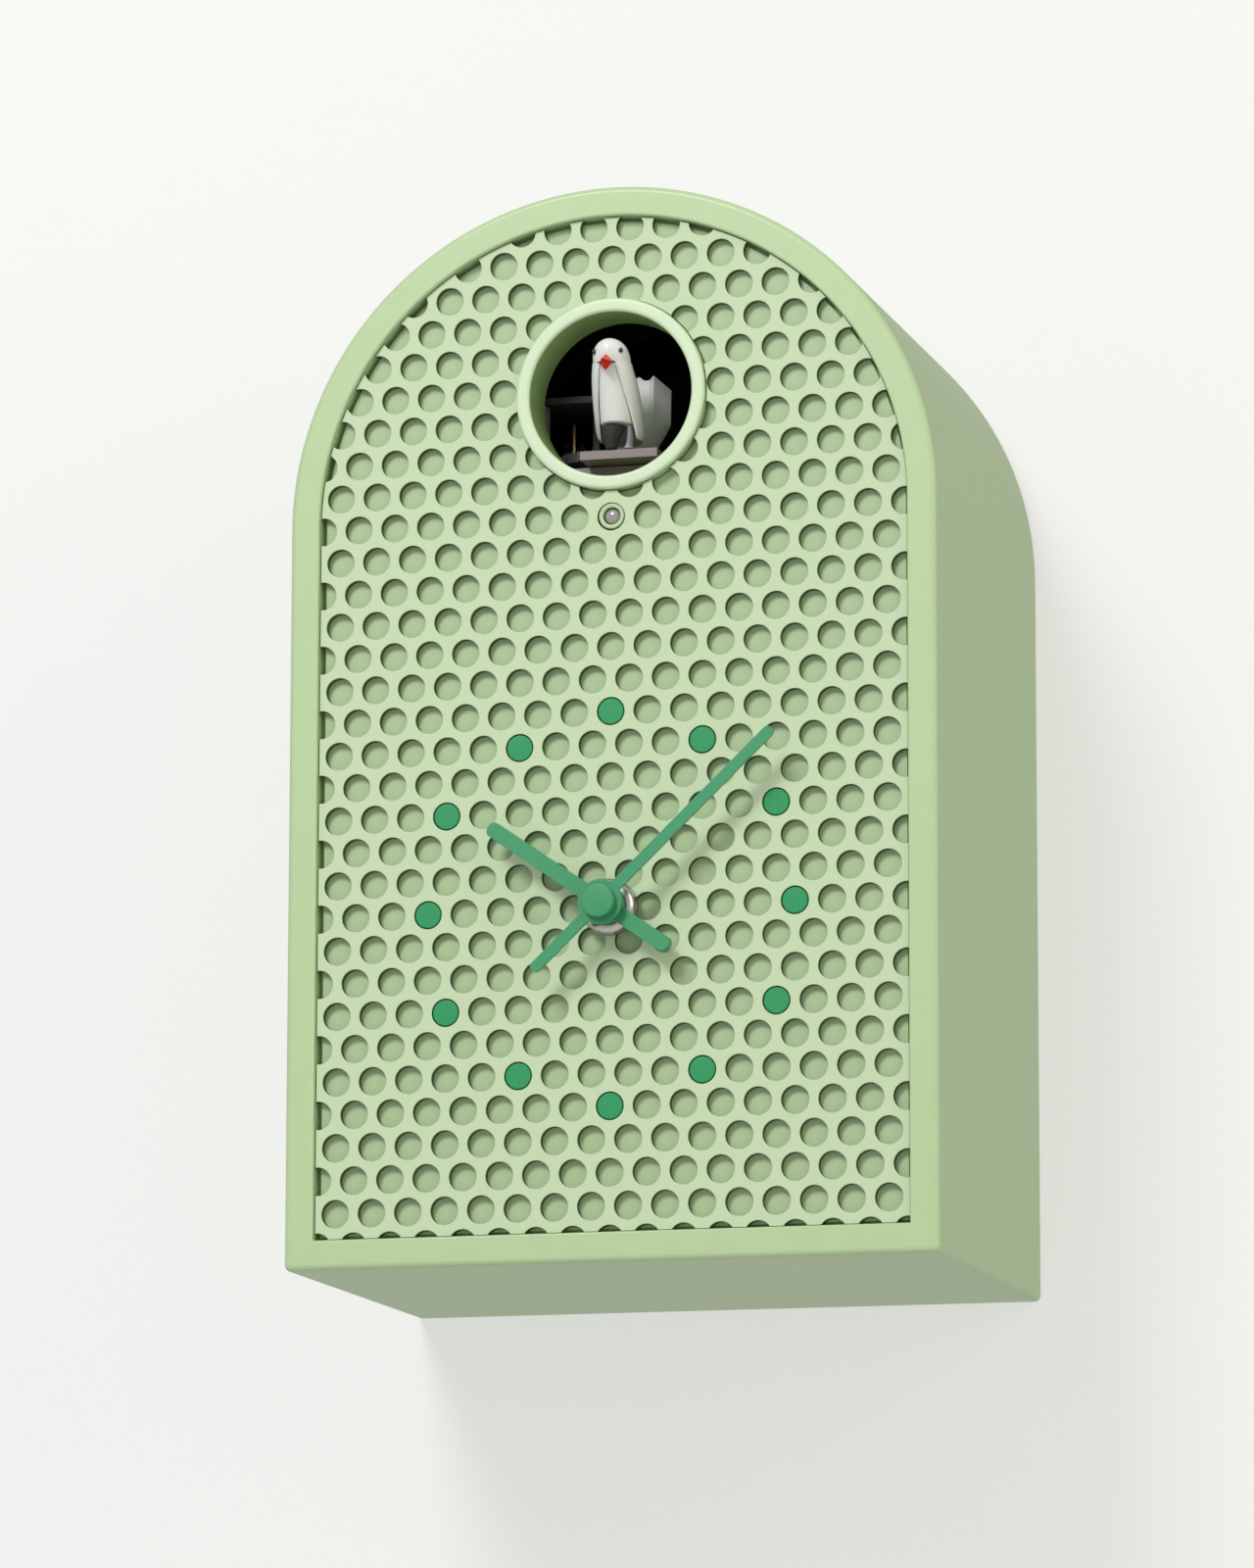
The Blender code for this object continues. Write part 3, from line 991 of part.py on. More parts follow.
    hanger_at = (0, 0, ARCH_CENTRE + HANGER_RISE)
    plate_front = COVER_BACK + GAP
    hanger = box("hanger_plate", (-HANGER_WIDTH / 2, plate_front, -HANGER_HEIGHT / 2),
                 (HANGER_WIDTH / 2, plate_front + HANGER_THICKNESS, HANGER_HEIGHT / 2), STEEL, hanger_at)
    low = plate_front - past
    high = plate_front + HANGER_THICKNESS + past
    round_at = (0, 0, hanger_at[2] - KEYHOLE_SLOT_LENGTH / 2)
    cut(hanger, rod("keyhole_round", KEYHOLE_RADIUS, low, high, origin=round_at))
    cut(hanger, box("keyhole_slot", (-KEYHOLE_SLOT_RADIUS, low, 0),
                    (KEYHOLE_SLOT_RADIUS, high, KEYHOLE_SLOT_LENGTH),
                    origin=round_at))
    cut(hanger, rod("keyhole_end", KEYHOLE_SLOT_RADIUS, low, high, sides=12,
                    origin=(0, 0, round_at[2] + KEYHOLE_SLOT_LENGTH)))
    pocket = KEYHOLE_RADIUS + MM
    cut(cover, box("cover_keyhole_pocket", (-pocket, COVER_FRONT - past, -pocket),
                   (pocket, COVER_BACK + past, KEYHOLE_SLOT_LENGTH + pocket), origin=round_at))

    for name, side in (("cover_screw_left", -1), ("cover_screw_right", 1)):
        x, z = cover_screw_place(side)
        at = (x, 0, z)
        cut(cover, rod(name + "_hole", COVER_SCREW_RADIUS + GAP, COVER_FRONT - past, COVER_BACK + past,
                       origin=at,
                       sides=12))
        screw = rod(name, COVER_SCREW_RADIUS, COVER_FRONT - COVER_SCREW_LENGTH + 2 * MM, COVER_BACK + MM,
                    material=STEEL, origin=at, sides=12)
        fuse(screw, rod(name + "_head", COVER_SCREW_HEAD_RADIUS - 2 * GAP, COVER_BACK + GAP,
                        COVER_BACK + 2 * MM, sides=12,
                        origin=at))


make_case()
make_front()
make_hands()
make_movement()
make_bird_drive()
make_bird()
make_back()
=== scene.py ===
"""The looks of a wall cuckoo clock, built round its working model.

The lacquered case, the perforated front with its dots and hands, the round window with the bird on
its slide, and the back with the battery door, the screws and the controls are modelled here as fine
pieces, each one riding on a body of the working model. The inner parts keep their own meshes and
are given finishes.

Axes: +X right as seen from the front, +Y into the wall, +Z up, in metres.
"""

from __future__ import annotations

import json
import logging
import math
from collections.abc import Callable, Iterator, Sequence
from contextlib import contextmanager
from dataclasses import dataclass
from enum import Enum

import bmesh
import bpy
from mathutils import Euler, Matrix, Vector


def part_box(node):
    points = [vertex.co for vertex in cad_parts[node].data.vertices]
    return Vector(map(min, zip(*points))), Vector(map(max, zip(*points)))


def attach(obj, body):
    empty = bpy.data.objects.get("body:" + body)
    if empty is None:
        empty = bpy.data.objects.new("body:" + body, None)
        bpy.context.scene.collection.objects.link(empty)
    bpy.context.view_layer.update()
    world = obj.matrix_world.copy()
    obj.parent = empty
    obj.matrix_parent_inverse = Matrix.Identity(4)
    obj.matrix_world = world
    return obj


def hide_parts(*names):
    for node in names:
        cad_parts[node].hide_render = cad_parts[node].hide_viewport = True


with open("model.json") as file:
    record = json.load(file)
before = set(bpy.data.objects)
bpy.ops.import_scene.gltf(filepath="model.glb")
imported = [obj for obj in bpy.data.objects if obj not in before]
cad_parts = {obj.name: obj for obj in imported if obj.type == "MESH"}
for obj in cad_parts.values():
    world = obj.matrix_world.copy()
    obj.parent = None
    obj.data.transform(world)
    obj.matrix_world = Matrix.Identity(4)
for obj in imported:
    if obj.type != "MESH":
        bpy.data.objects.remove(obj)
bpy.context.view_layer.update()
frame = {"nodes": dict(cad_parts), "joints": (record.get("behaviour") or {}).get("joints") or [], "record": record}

log = logging.getLogger("cuckoo_clock")

MM = 0.001
SEAT = 0.3 * MM            # left between two pieces that touch
Point = tuple[float, float, float]
Ring = tuple[float, float]
Piece = bpy.types.Object


class Axis(Enum):
    """The way that a turned piece's axis points, as the turn that brings +Z onto it."""

    Y = (-math.pi / 2, 0.0, 0.0)
    X = (0.0, math.pi / 2, 0.0)
    Z = (0.0, 0.0, 0.0)

    @property
    def turn(self) -> Euler:
        """The turn from +Z to this axis."""
        return Euler(self.value)

    @property
    def direction(self) -> Vector:
        """The unit vector along this axis."""
        return Vector((self is Axis.X, self is Axis.Y, self is Axis.Z))


class Side(Enum):
    """The two sides of the clock, seen from the front."""

    LEFT = -1
    RIGHT = 1

    @property
    def word(self) -> str:
        """The side's name, as a piece's name says it."""
        return self.name.lower()


class Slot(Enum):
    """The finishes that the record names."""

    LACQUER = "green_lacquer"
    GRILLE = "grille_paint"
    DOT = "dark_green"
    HAND = "hand_green"
    STEEL = "steel"
    FIBRE_WASHER = "fibre_washer"
    BLACK = "black_plastic"
    GREY = "grey_plastic"
    MAUVE = "mauve_plastic"
    WHITE = "white_plastic"
    RED = "red_plastic"
    BRASS = "brass"
    GEAR = "gear_plastic"
    COPPER = "copper_wire"
    BOARD = "board_green"
    FIBRE_BOARD = "fibre_board"
    CELL = "cell_wrap"
    GLASS = "sensor_glass"


# ---------------------------------------------------------------- finishes


@dataclass(frozen=True)
class Finish:
    """A surface with the small unevenness of a real one.

    The colour drifts by `mottle` over patches of `mottle_size`, the gloss by `gloss_drift`, and a
    grain of `grain_size` stands `grain` high. `wear` lightens sharp edges within `wear_width`.
    """

    name: str
    colour: Point
    roughness: float
    metallic: float = 0.0
    mottle: float = 0.04
    mottle_size: float = 5.0 * MM
    gloss_drift: float = 0.06
    grain: float = 0.02 * MM
    grain_size: float = 0.5 * MM
    stretch: Point = (1.0, 1.0, 1.0)
    wear: float = 0.0
    wear_width: float = 0.4 * MM
    speckle: float = 0.0
    coat: float = 0.0
    transmission: float = 0.0

    def material(self) -> bpy.types.Material:
        """Makes the material once, and gives the same one after that.

        Returns:
            The node material of this finish.
        """
        known = bpy.data.materials.get(self.name)
        if known is not None:
            return known
        material = bpy.data.materials.new(self.name)
        material.use_nodes = True
        nodes = material.node_tree.nodes
        links = material.node_tree.links
        shader = nodes["Principled BSDF"]
        shader.inputs["Metallic"].default_value = self.metallic
        shader.inputs["Coat Weight"].default_value = self.coat
        shader.inputs["Coat Roughness"].default_value = 0.12
        shader.inputs["Transmission Weight"].default_value = self.transmission
        place = nodes.new("ShaderNodeTexCoord").outputs["Object"]
        stretched = nodes.new("ShaderNodeMapping")
        stretched.inputs["Scale"].default_value = self.stretch
        links.new(place, stretched.inputs["Vector"])
        place = stretched.outputs["Vector"]

        patches = self._noise(nodes, links, place, self.mottle_size, detail=4.0)
        tint = nodes.new("ShaderNodeMix")
        tint.data_type = "RGBA"
        tint.inputs["A"].default_value = self._shade(1 - self.mottle)
        tint.inputs["B"].default_value = self._shade(1 + self.mottle)
        links.new(patches, tint.inputs["Factor"])
        colour = tint.outputs["Result"]
        if self.speckle:
            colour = self._speckled(nodes, links, place, colour)
        if self.wear:
            colour = self._worn(nodes, links, colour)
        links.new(colour, shader.inputs["Base Color"])

        gloss = nodes.new("ShaderNodeMapRange")
        gloss.inputs["To Min"].default_value = max(self.roughness - self.gloss_drift, 0.02)
        gloss.inputs["To Max"].default_value = min(self.roughness + self.gloss_drift, 1.0)
        links.new(self._noise(nodes, links, place, self.mottle_size / 2.3, detail=3.0), gloss.inputs["Value"])
        links.new(gloss.outputs["Result"], shader.inputs["Roughness"])

        bump = nodes.new("ShaderNodeBump")
        bump.inputs["Strength"].default_value = 1.0
        bump.inputs["Distance"].default_value = self.grain
        links.new(self._noise(nodes, links, place, self.grain_size, detail=2.0), bump.inputs["Height"])
        links.new(bump.outputs["Normal"], shader.inputs["Normal"])
        return material

    def _shade(self, share: float) -> tuple[float, float, float, float]:
        """The colour made lighter or darker by a share."""
        red, green, blue = (min(channel * share, 1.0) for channel in self.colour)
        return red, green, blue, 1.0

    def _noise(self, nodes: bpy.types.Nodes, links: bpy.types.NodeLinks, place: bpy.types.NodeSocket,
               size: float, detail: float) -> bpy.types.NodeSocket:
        """A noise of one patch size.

        Args:
            nodes: The material's nodes.
            links: The material's links.
            place: The coordinates that it reads.
            size: The width of a patch, in metres.
            detail: How many finer layers it has.

        Returns:
            The noise's value, from 0 to 1.
        """
        noise = nodes.new("ShaderNodeTexNoise")
        noise.inputs["Scale"].default_value = 1 / size
        noise.inputs["Detail"].default_value = detail
        links.new(place, noise.inputs["Vector"])
        return noise.outputs["Fac"]

    def _speckled(self, nodes: bpy.types.Nodes, links: bpy.types.NodeLinks, place: bpy.types.NodeSocket,
                  colour: bpy.types.NodeSocket) -> bpy.types.NodeSocket:
        """Dark flecks over a colour, such as the fibres in a pressed board.

        Args:
            nodes: The material's nodes.
            links: The material's links.
            place: The coordinates that the flecks read.
            colour: The colour beneath.

        Returns:
            The flecked colour.
        """
        flecks = nodes.new("ShaderNodeMapRange")
        flecks.inputs["From Min"].default_value = 0.55
        flecks.inputs["From Max"].default_value = 0.70
        flecks.inputs["To Max"].default_value = self.speckle
        links.new(self._noise(nodes, links, place, self.grain_size * 2, detail=5.0), flecks.inputs["Value"])
        mixed = nodes.new("ShaderNodeMix")
        mixed.data_type = "RGBA"
        links.new(flecks.outputs["Result"], mixed.inputs["Factor"])
        links.new(colour, mixed.inputs["A"])
        mixed.inputs["B"].default_value = self._shade(0.35)
        return mixed.outputs["Result"]

    def _worn(self, nodes: bpy.types.Nodes, links: bpy.types.NodeLinks,
              colour: bpy.types.NodeSocket) -> bpy.types.NodeSocket:
        """Lightens a colour where the surface turns sharply.

        Args:
            nodes: The material's nodes.
            links: The material's links.
            colour: The colour of the flat surface.

        Returns:
            The colour with its edges rubbed lighter.
        """
        rounded = nodes.new("ShaderNodeBevel")
        rounded.samples = 4
        rounded.inputs["Radius"].default_value = self.wear_width
        flat = nodes.new("ShaderNodeNewGeometry")
        along = nodes.new("ShaderNodeVectorMath")
        along.operation = "DOT_PRODUCT"
        links.new(rounded.outputs["Normal"], along.inputs[0])
        links.new(flat.outputs["Normal"], along.inputs[1])
        edge = nodes.new("ShaderNodeMapRange")
        edge.inputs["From Min"].default_value = 0.99
        edge.inputs["From Max"].default_value = 0.80
        edge.inputs["To Max"].default_value = self.wear
        links.new(along.outputs["Value"], edge.inputs["Value"])
        mixed = nodes.new("ShaderNodeMix")
        mixed.data_type = "RGBA"
        links.new(edge.outputs["Result"], mixed.inputs["Factor"])
        links.new(colour, mixed.inputs["A"])
        mixed.inputs["B"].default_value = self._shade(1.45)
        return mixed.outputs["Result"]


FINISHES: dict[Slot, Finish] = {
    Slot.LACQUER: Finish("satin_lacquer", (0.520, 0.690, 0.385), 0.42, mottle=0.025, mottle_size=9 * MM,
                         gloss_drift=0.05, grain=0.012 * MM, grain_size=0.7 * MM, coat=0.15),
    # Painted light: the grille takes the case's paint, set a little lighter for the light that it catches beside the
    # rim.
    Slot.GRILLE: Finish("grille_paint", (0.560, 0.755, 0.420), 0.48, mottle=0.035, mottle_size=1.6 * MM,
                        grain=0.02 * MM, grain_size=0.45 * MM),
    Slot.DOT: Finish("dot_green", (0.015, 0.330, 0.110), 0.5, mottle=0.05, mottle_size=1.5 * MM,
                     grain=0.015 * MM, grain_size=0.4 * MM),
    Slot.HAND: Finish("hand_paint", (0.048, 0.335, 0.150), 0.45, mottle=0.04, mottle_size=2 * MM,
                      grain=0.012 * MM, grain_size=0.35 * MM, wear=0.5, wear_width=0.3 * MM),
    Slot.STEEL: Finish("plated_steel", (0.66, 0.63, 0.61), 0.22, metallic=1.0, mottle=0.05,
                       mottle_size=2 * MM, grain=0.004 * MM, grain_size=0.25 * MM, stretch=(1, 1, 4)),
    Slot.FIBRE_WASHER: Finish("washer_fibre", (0.12, 0.12, 0.11), 0.85, mottle=0.15, mottle_size=1 * MM,
                              grain=0.05 * MM, grain_size=0.3 * MM),
    Slot.BLACK: Finish("black_plastic", (0.024, 0.024, 0.024), 0.48, mottle=0.10, mottle_size=3 * MM,
                       grain=0.03 * MM, grain_size=0.35 * MM, wear=0.5),
    Slot.GREY: Finish("grey_plastic", (0.34, 0.34, 0.36), 0.42, mottle=0.06, mottle_size=2 * MM,
                      grain=0.02 * MM, grain_size=0.4 * MM, wear=0.35),
    Slot.MAUVE: Finish("mauve_plastic", (0.27, 0.20, 0.20), 0.45, mottle=0.08, mottle_size=2 * MM,
                       grain=0.025 * MM, grain_size=0.5 * MM, wear=0.5),
    Slot.WHITE: Finish("white_plastic", (0.93, 0.93, 0.96), 0.36, mottle=0.03, mottle_size=3 * MM,
                       grain=0.02 * MM, grain_size=0.6 * MM),
    Slot.RED: Finish("red_plastic", (0.95, 0.014, 0.010), 0.32, mottle=0.06, mottle_size=1 * MM,
                     grain=0.01 * MM, grain_size=0.4 * MM, wear=0.3),
    Slot.BRASS: Finish("turned_brass", (0.74, 0.55, 0.26), 0.28, metallic=1.0, mottle=0.07,
                       mottle_size=1.5 * MM, grain=0.006 * MM, grain_size=0.2 * MM, stretch=(1, 6, 1)),
    Slot.GEAR: Finish("natural_acetal", (0.76, 0.76, 0.72), 0.42, mottle=0.03, mottle_size=1.5 * MM),
    Slot.COPPER: Finish("enamelled_winding", (0.62, 0.25, 0.11), 0.3, metallic=1.0, mottle=0.12,
                        mottle_size=0.5 * MM, grain=0.05 * MM, grain_size=0.16 * MM, stretch=(1, 0.1, 0.1)),
    Slot.BOARD: Finish("solder_mask", (0.015, 0.150, 0.060), 0.35, mottle=0.12, mottle_size=1.2 * MM,
                       grain=0.03 * MM, grain_size=0.8 * MM),
    Slot.FIBRE_BOARD: Finish("raw_fibreboard", (0.36, 0.25, 0.15), 0.85, mottle=0.14, mottle_size=3 * MM,
                             grain=0.06 * MM, grain_size=0.5 * MM, speckle=0.5),
    Slot.CELL: Finish("cell_sleeve", (0.05, 0.05, 0.06), 0.3, mottle=0.08, mottle_size=6 * MM,
                      grain=0.01 * MM, grain_size=0.8 * MM),
    Slot.GLASS: Finish("lens_glass", (0.35, 0.34, 0.35), 0.08, mottle=0.15, mottle_size=0.9 * MM,
                       gloss_drift=0.03, grain=0.01 * MM, grain_size=0.6 * MM, coat=1.0),
}
# Painted shade: dark green on the grille's hole walls, standing in for the shade inside the holes.
HOLE_WALL_PAINTED_SHADE = Finish("hole_wall", (0.045, 0.105, 0.024), 0.6, mottle=0.08, mottle_size=1.5 * MM)
# Painted light: the window ring's front painted lighter than its lacquer, where the lamp falls on it.
RING_FRONT_PAINTED_LIGHT = Finish("ring_paint", (0.70, 0.85, 0.60), 0.40, mottle=0.02, mottle_size=3 * MM, coat=0.1)
# Painted shade: the window ring's bore painted darker, for the shade inside the window.
BORE_PAINTED_SHADE = Finish("bore_paint", (0.27, 0.43, 0.15), 0.5, mottle=0.04, mottle_size=3 * MM)
MOUTH = Finish("mouth_plastic", (0.045, 0.018, 0.035), 0.4, mottle=0.1, mottle_size=0.8 * MM)
# Painted shade: near-black on the case's inside faces, for the shade in the closed cavity.
INSIDE_PAINTED_SHADE = Finish("inside_black", (0.10, 0.09, 0.075), 0.8, mottle=0.25, mottle_size=6 * MM,
                grain=0.05 * MM, grain_size=0.7 * MM, speckle=0.4)
# Painted shade and reflection: the nut's recess floor painted dark brown, for the shade and the dark reflection in the
# recess.
NUT_FLOOR_PAINTED_SHADE_AND_REFLECTION = Finish("nut_recess", (0.10, 0.085, 0.075), 0.4, metallic=1.0, mottle=0.2, mottle_size=1.2 * MM)
LEG_LILAC = Finish("lilac_plastic", (0.42, 0.40, 0.46), 0.35, mottle=0.06, mottle_size=1 * MM)
# Painted shade: the left leg painted near-black, as it stands in shade.
LEG_PAINTED_SHADE = Finish("dark_leg_plastic", (0.045, 0.045, 0.048), 0.38, mottle=0.12, mottle_size=1.5 * MM)
EYE_BLACK = Finish("eye_bead", (0.008, 0.008, 0.010), 0.12, mottle=0.2, mottle_size=0.5 * MM, coat=0.6)


# ---------------------------------------------------------------- bench tools


def select_only(piece: Piece) -> None:
    """Selects one piece and makes it the active one."""
    bpy.ops.object.select_all(action="DESELECT")
    piece.select_set(True)
    bpy.context.view_layer.objects.active = piece


@contextmanager
def editing(piece: Piece, kind: str = "FACE", everything: bool = False) -> Iterator[None]:
    """Edit mode on one piece.

    Args:
        piece: The piece to edit.
        kind: What is selected: VERT, EDGE or FACE.
        everything: True to start with all of it selected, and not none.
    """
    select_only(piece)
    bpy.ops.object.mode_set(mode="EDIT")
    bpy.ops.mesh.select_mode(type=kind)
    bpy.ops.mesh.select_all(action="SELECT" if everything else "DESELECT")
    yield
    bpy.ops.object.mode_set(mode="OBJECT")


def pick_faces(piece: Piece, test: Callable[[Vector, Vector], bool]) -> None:
    """Selects faces in edit mode.

    Args:
        piece: The piece that is in edit mode.
        test: Says of a face's centre and normal whether to take it.
    """
    mesh = bmesh.from_edit_mesh(piece.data)
    for face in mesh.faces:
        face.select_set(test(face.calc_center_median(), face.normal))
    bmesh.update_edit_mesh(piece.data)


def pick_edges(piece: Piece, test: Callable[[Vector, Vector], bool]) -> None:
    """Selects edges in edit mode.

    Args:
        piece: The piece that is in edit mode.
        test: Says of an edge's two ends whether to take it.
    """
    mesh = bmesh.from_edit_mesh(piece.data)
    for edge in mesh.edges:
        edge.select_set(test(edge.verts[0].co, edge.verts[1].co))
    bmesh.update_edit_mesh(piece.data)


def settle(piece: Piece) -> Piece:
    """Puts the piece's place, turn and size into its mesh."""
    select_only(piece)
    bpy.ops.object.transform_apply(location=True, rotation=True, scale=True)
    return piece


def started(name: str) -> Piece:
    """Names the primitive that was just added, and settles it."""
    piece = bpy.context.object
    piece.name = name
    piece.data.name = name
    return settle(piece)


def modify(piece: Piece, kind: str, **settings: object) -> Piece:
    """Adds a modifier and applies it.

    Args:
        piece: The piece to change.
        kind: The modifier's type.
        **settings: The modifier's own settings.

    Returns:
        The same piece.
    """
    select_only(piece)
    modifier = piece.modifiers.new(kind.lower(), kind)
    for key, value in settings.items():
        setattr(modifier, key, value)
    bpy.ops.object.modifier_apply(modifier=modifier.name)
    return piece


def discard(piece: Piece) -> None:
    """Removes a helper and its mesh."""
    mesh = piece.data
    bpy.data.objects.remove(piece)
    bpy.data.meshes.remove(mesh)


def cut(piece: Piece, *tools: Piece, solver: str = "EXACT") -> Piece:
    """Cuts tools out of a piece, and removes them.

    Args:
        piece: The piece to cut.
        *tools: The solids to cut with.
        solver: The Boolean's solver.

    Returns:
        The same piece.
    """
    for tool in tools:
        modify(piece, "BOOLEAN", object=tool, operation="DIFFERENCE", solver=solver)
        discard(tool)
    return piece


def weld_on(piece: Piece, *others: Piece) -> Piece:
    """Unites other solids with a piece, and removes them."""
    for other in others:
        modify(piece, "BOOLEAN", object=other, operation="UNION", solver="EXACT")
        discard(other)
    return piece


def gathered(pieces: Sequence[Piece]) -> Piece:
    """Joins separate solids into one object.

    Args:
        pieces: The objects to join; the first keeps its name.

    Returns:
        The first object, holding them all.
    """
    bpy.ops.object.select_all(action="DESELECT")
    for piece in pieces:
        piece.select_set(True)
    bpy.context.view_layer.objects.active = pieces[0]
    bpy.ops.object.join()
    return pieces[0]


def eased(piece: Piece, width: float, segments: int = 3, angle: float = 35.0) -> Piece:
    """Rounds the edges that are sharper than an angle, in degrees."""
    return modify(piece, "BEVEL", width=width, segments=segments, limit_method="ANGLE",
                  angle_limit=math.radians(angle), use_clamp_overlap=True)


def smoothed(piece: Piece, angle: float = 32.0, weighted: bool = True) -> Piece:
    """Shades a piece smooth, apart from edges sharper than an angle in degrees.

    Args:
        piece: The piece to shade.
        angle: The sharpest turn that still looks round.
        weighted: True where broad flats have to stay flat beside small rounded edges.

    Returns:
        The same piece.
    """
    select_only(piece)
    bpy.ops.object.shade_smooth_by_angle(angle=math.radians(angle))
    if weighted:
        modify(piece, "WEIGHTED_NORMAL", mode="FACE_AREA", keep_sharp=True)
    return piece


def block(name: str, low: Point, high: Point, edge: float = 0.3 * MM, segments: int = 2) -> Piece:
    """A block with eased edges.

    Args:
        name: The piece's name.
        low: Its lowest corner.
        high: Its highest corner.
        edge: The radius of its edges, or 0 for sharp ones.
        segments: How many steps an edge is rounded in.

    Returns:
        The block.
    """
    low, high = Vector(low), Vector(high)
    bpy.ops.mesh.primitive_cube_add(size=1, location=(low + high) / 2, scale=high - low)
    piece = started(name)
    return eased(piece, edge, segments) if edge else piece


def turned(name: str, rings: Sequence[Ring], centre: Vector, axis: Axis = Axis.Y, sides: int = 64) -> Piece:
    """A piece turned on an axis, ring by ring. A ring of radius 0 at either end closes it to a point.

    Args:
        name: The piece's name.
        rings: The radius and the place along the axis of each ring. A hollow ring repeats its first.
        centre: The point that places along the axis are measured from.
        axis: The axis.
        sides: How many sides it has.

    Returns:
        The turned piece, with its faces outwards.
    """
    inner = [ring for ring in rings if ring[0] > 0]
    radius, along = inner[0]
    bpy.ops.mesh.primitive_circle_add(vertices=sides, radius=radius, fill_type="NOTHING",
                                      location=centre + along * axis.direction, rotation=axis.turn)
    piece = started(name)
    with editing(piece, "EDGE", everything=True):
        for next_radius, next_along in inner[1:]:
            step = (next_along - along) * axis.direction
            bpy.ops.mesh.extrude_region_move(TRANSFORM_OT_translate={"value": step})
            share = next_radius / radius
            bpy.ops.transform.resize(value=(share,) * 3, center_override=centre + next_along * axis.direction)
            radius, along = next_radius, next_along
        for tip, rim in ((rings[-1], inner[-1]), (rings[0], inner[0])):
            if tip[0] > 0:
                continue
            bpy.ops.mesh.select_all(action="DESELECT")
            pick_edges(piece, lambda a, b: all(
                abs((point - centre).dot(axis.direction) - rim[1]) < 1e-6
                and abs(((point - centre) - (point - centre).dot(axis.direction) * axis.direction).length - rim[0]) < 1e-6
                for point in (a, b)))
            step = (tip[1] - rim[1]) * axis.direction
            bpy.ops.mesh.extrude_region_move(TRANSFORM_OT_translate={"value": step})
            bpy.ops.mesh.merge(type="CENTER")
        bpy.ops.mesh.select_all(action="SELECT")
        bpy.ops.mesh.remove_doubles(threshold=1e-6)
        bpy.ops.mesh.normals_make_consistent(inside=False)
    return piece


def rounded_rim(radius: float, along: float, edge: float, towards: float, steps: int = 4,
                inner: bool = False) -> list[Ring]:
    """The rings of a quarter-round edge, from the side of a cylinder to its flat end.

    Args:
        radius: The cylinder's radius.
        along: The place of its flat end along the axis.
        edge: The edge's own radius.
        towards: 1 where the end is at the axis's high end, and -1 at its low end.
        steps: How many steps the round has.
        inner: True for the edge of a bore, whose flat end lies outside it.

    Returns:
        The rings, the side's first.
    """
    rings = []
    sign = 1 if inner else -1
    for step in range(steps + 1):
        angle = math.pi / 2 * step / steps
        rings.append((radius + sign * edge * (1 - math.cos(angle)), along - towards * edge * (1 - math.sin(angle))))
    return rings


@dataclass(frozen=True)
class Level:
    """One level of a stacked form: its height, half sizes and where its middle is."""

    height: float
    half_x: float
    half_y: float
    x: float = 0.0
    y: float = 0.0


def stacked(name: str, levels: Sequence[Level], base: Vector, sides: int = 16, smooth: int = 2) -> Piece:
    """A soft upright form, drawn up level by level and closed at both ends.

    Args:
        name: The piece's name.
        levels: The levels, from the bottom up.
        base: The point that they are measured from.
        sides: How many sides the cage has.
        smooth: How many times it is subdivided.

    Returns:
        The form.
    """
    first = levels[0]
    place = base + Vector((first.x, first.y, first.height))
    bpy.ops.mesh.primitive_circle_add(vertices=sides, radius=first.half_x, fill_type="NGON", location=place)
    piece = started(name)
    with editing(piece, "FACE", everything=True):
        bpy.ops.transform.resize(value=(1, first.half_y / first.half_x, 1), center_override=place)
        for low, high in zip(levels, levels[1:]):
            step = Vector((high.x - low.x, high.y - low.y, high.height - low.height))
            bpy.ops.mesh.extrude_region_move(TRANSFORM_OT_translate={"value": step})
            share = (high.half_x / low.half_x, high.half_y / low.half_y, 1)
            bpy.ops.transform.resize(value=share, center_override=base + Vector((high.x, high.y, high.height)))
        bpy.ops.mesh.select_all(action="SELECT")
        bpy.ops.mesh.normals_make_consistent(inside=False)
    if smooth:
        modify(piece, "SUBSURF", levels=smooth, render_levels=smooth)
    return piece


def dress(piece: Piece, slot: Slot, finish: Finish | None = None) -> Piece:
    """Gives a piece the finish of the record's slot, or the finish given in its place.

    Args:
        piece: The piece.
        slot: The record's slot.
        finish: The finish, where it isn't the slot's own.

    Returns:
        The same piece.
    """
    piece.data.materials.clear()
    piece.data.materials.append((finish or FINISHES[slot]).material())
    return piece


def paint_faces(piece: Piece, finish: Finish, test: Callable[[Vector, Vector], bool]) -> None:
    """Gives some faces of a piece a second finish.

    Args:
        piece: The piece.
        finish: The second finish.
        test: Says of a face's centre and normal whether it takes that finish.
    """
    piece.data.materials.append(finish.material())
    number = len(piece.data.materials) - 1
    for face in piece.data.polygons:
        if test(face.center, face.normal):
            face.material_index = number


def mount(piece: Piece, body: str, *nodes: str) -> Piece:
    """Fixes a finished piece to a body, and hides the parts of the working model that it stands for."""
    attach(piece, body)
    if nodes:
        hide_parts(*nodes)
    log.info("%s rides on %s", piece.name, body)
    return piece


def joint_at(name: str) -> Vector:
    """Where a hinge of the working model turns."""
    return next(Vector(joint["pos_m"]) for joint in frame["joints"] if joint["name"] == name)


def middle_of(node: str) -> Vector:
    """The middle of a part's box."""
    low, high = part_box(node)
    return (low + high) / 2


CASE_LOW, CASE_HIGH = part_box("case_shell")
CASE_RADIUS = CASE_HIGH.x
ARCH_HEIGHT = CASE_HIGH.z - CASE_RADIUS
HUB = joint_at("minute_hand_spin")


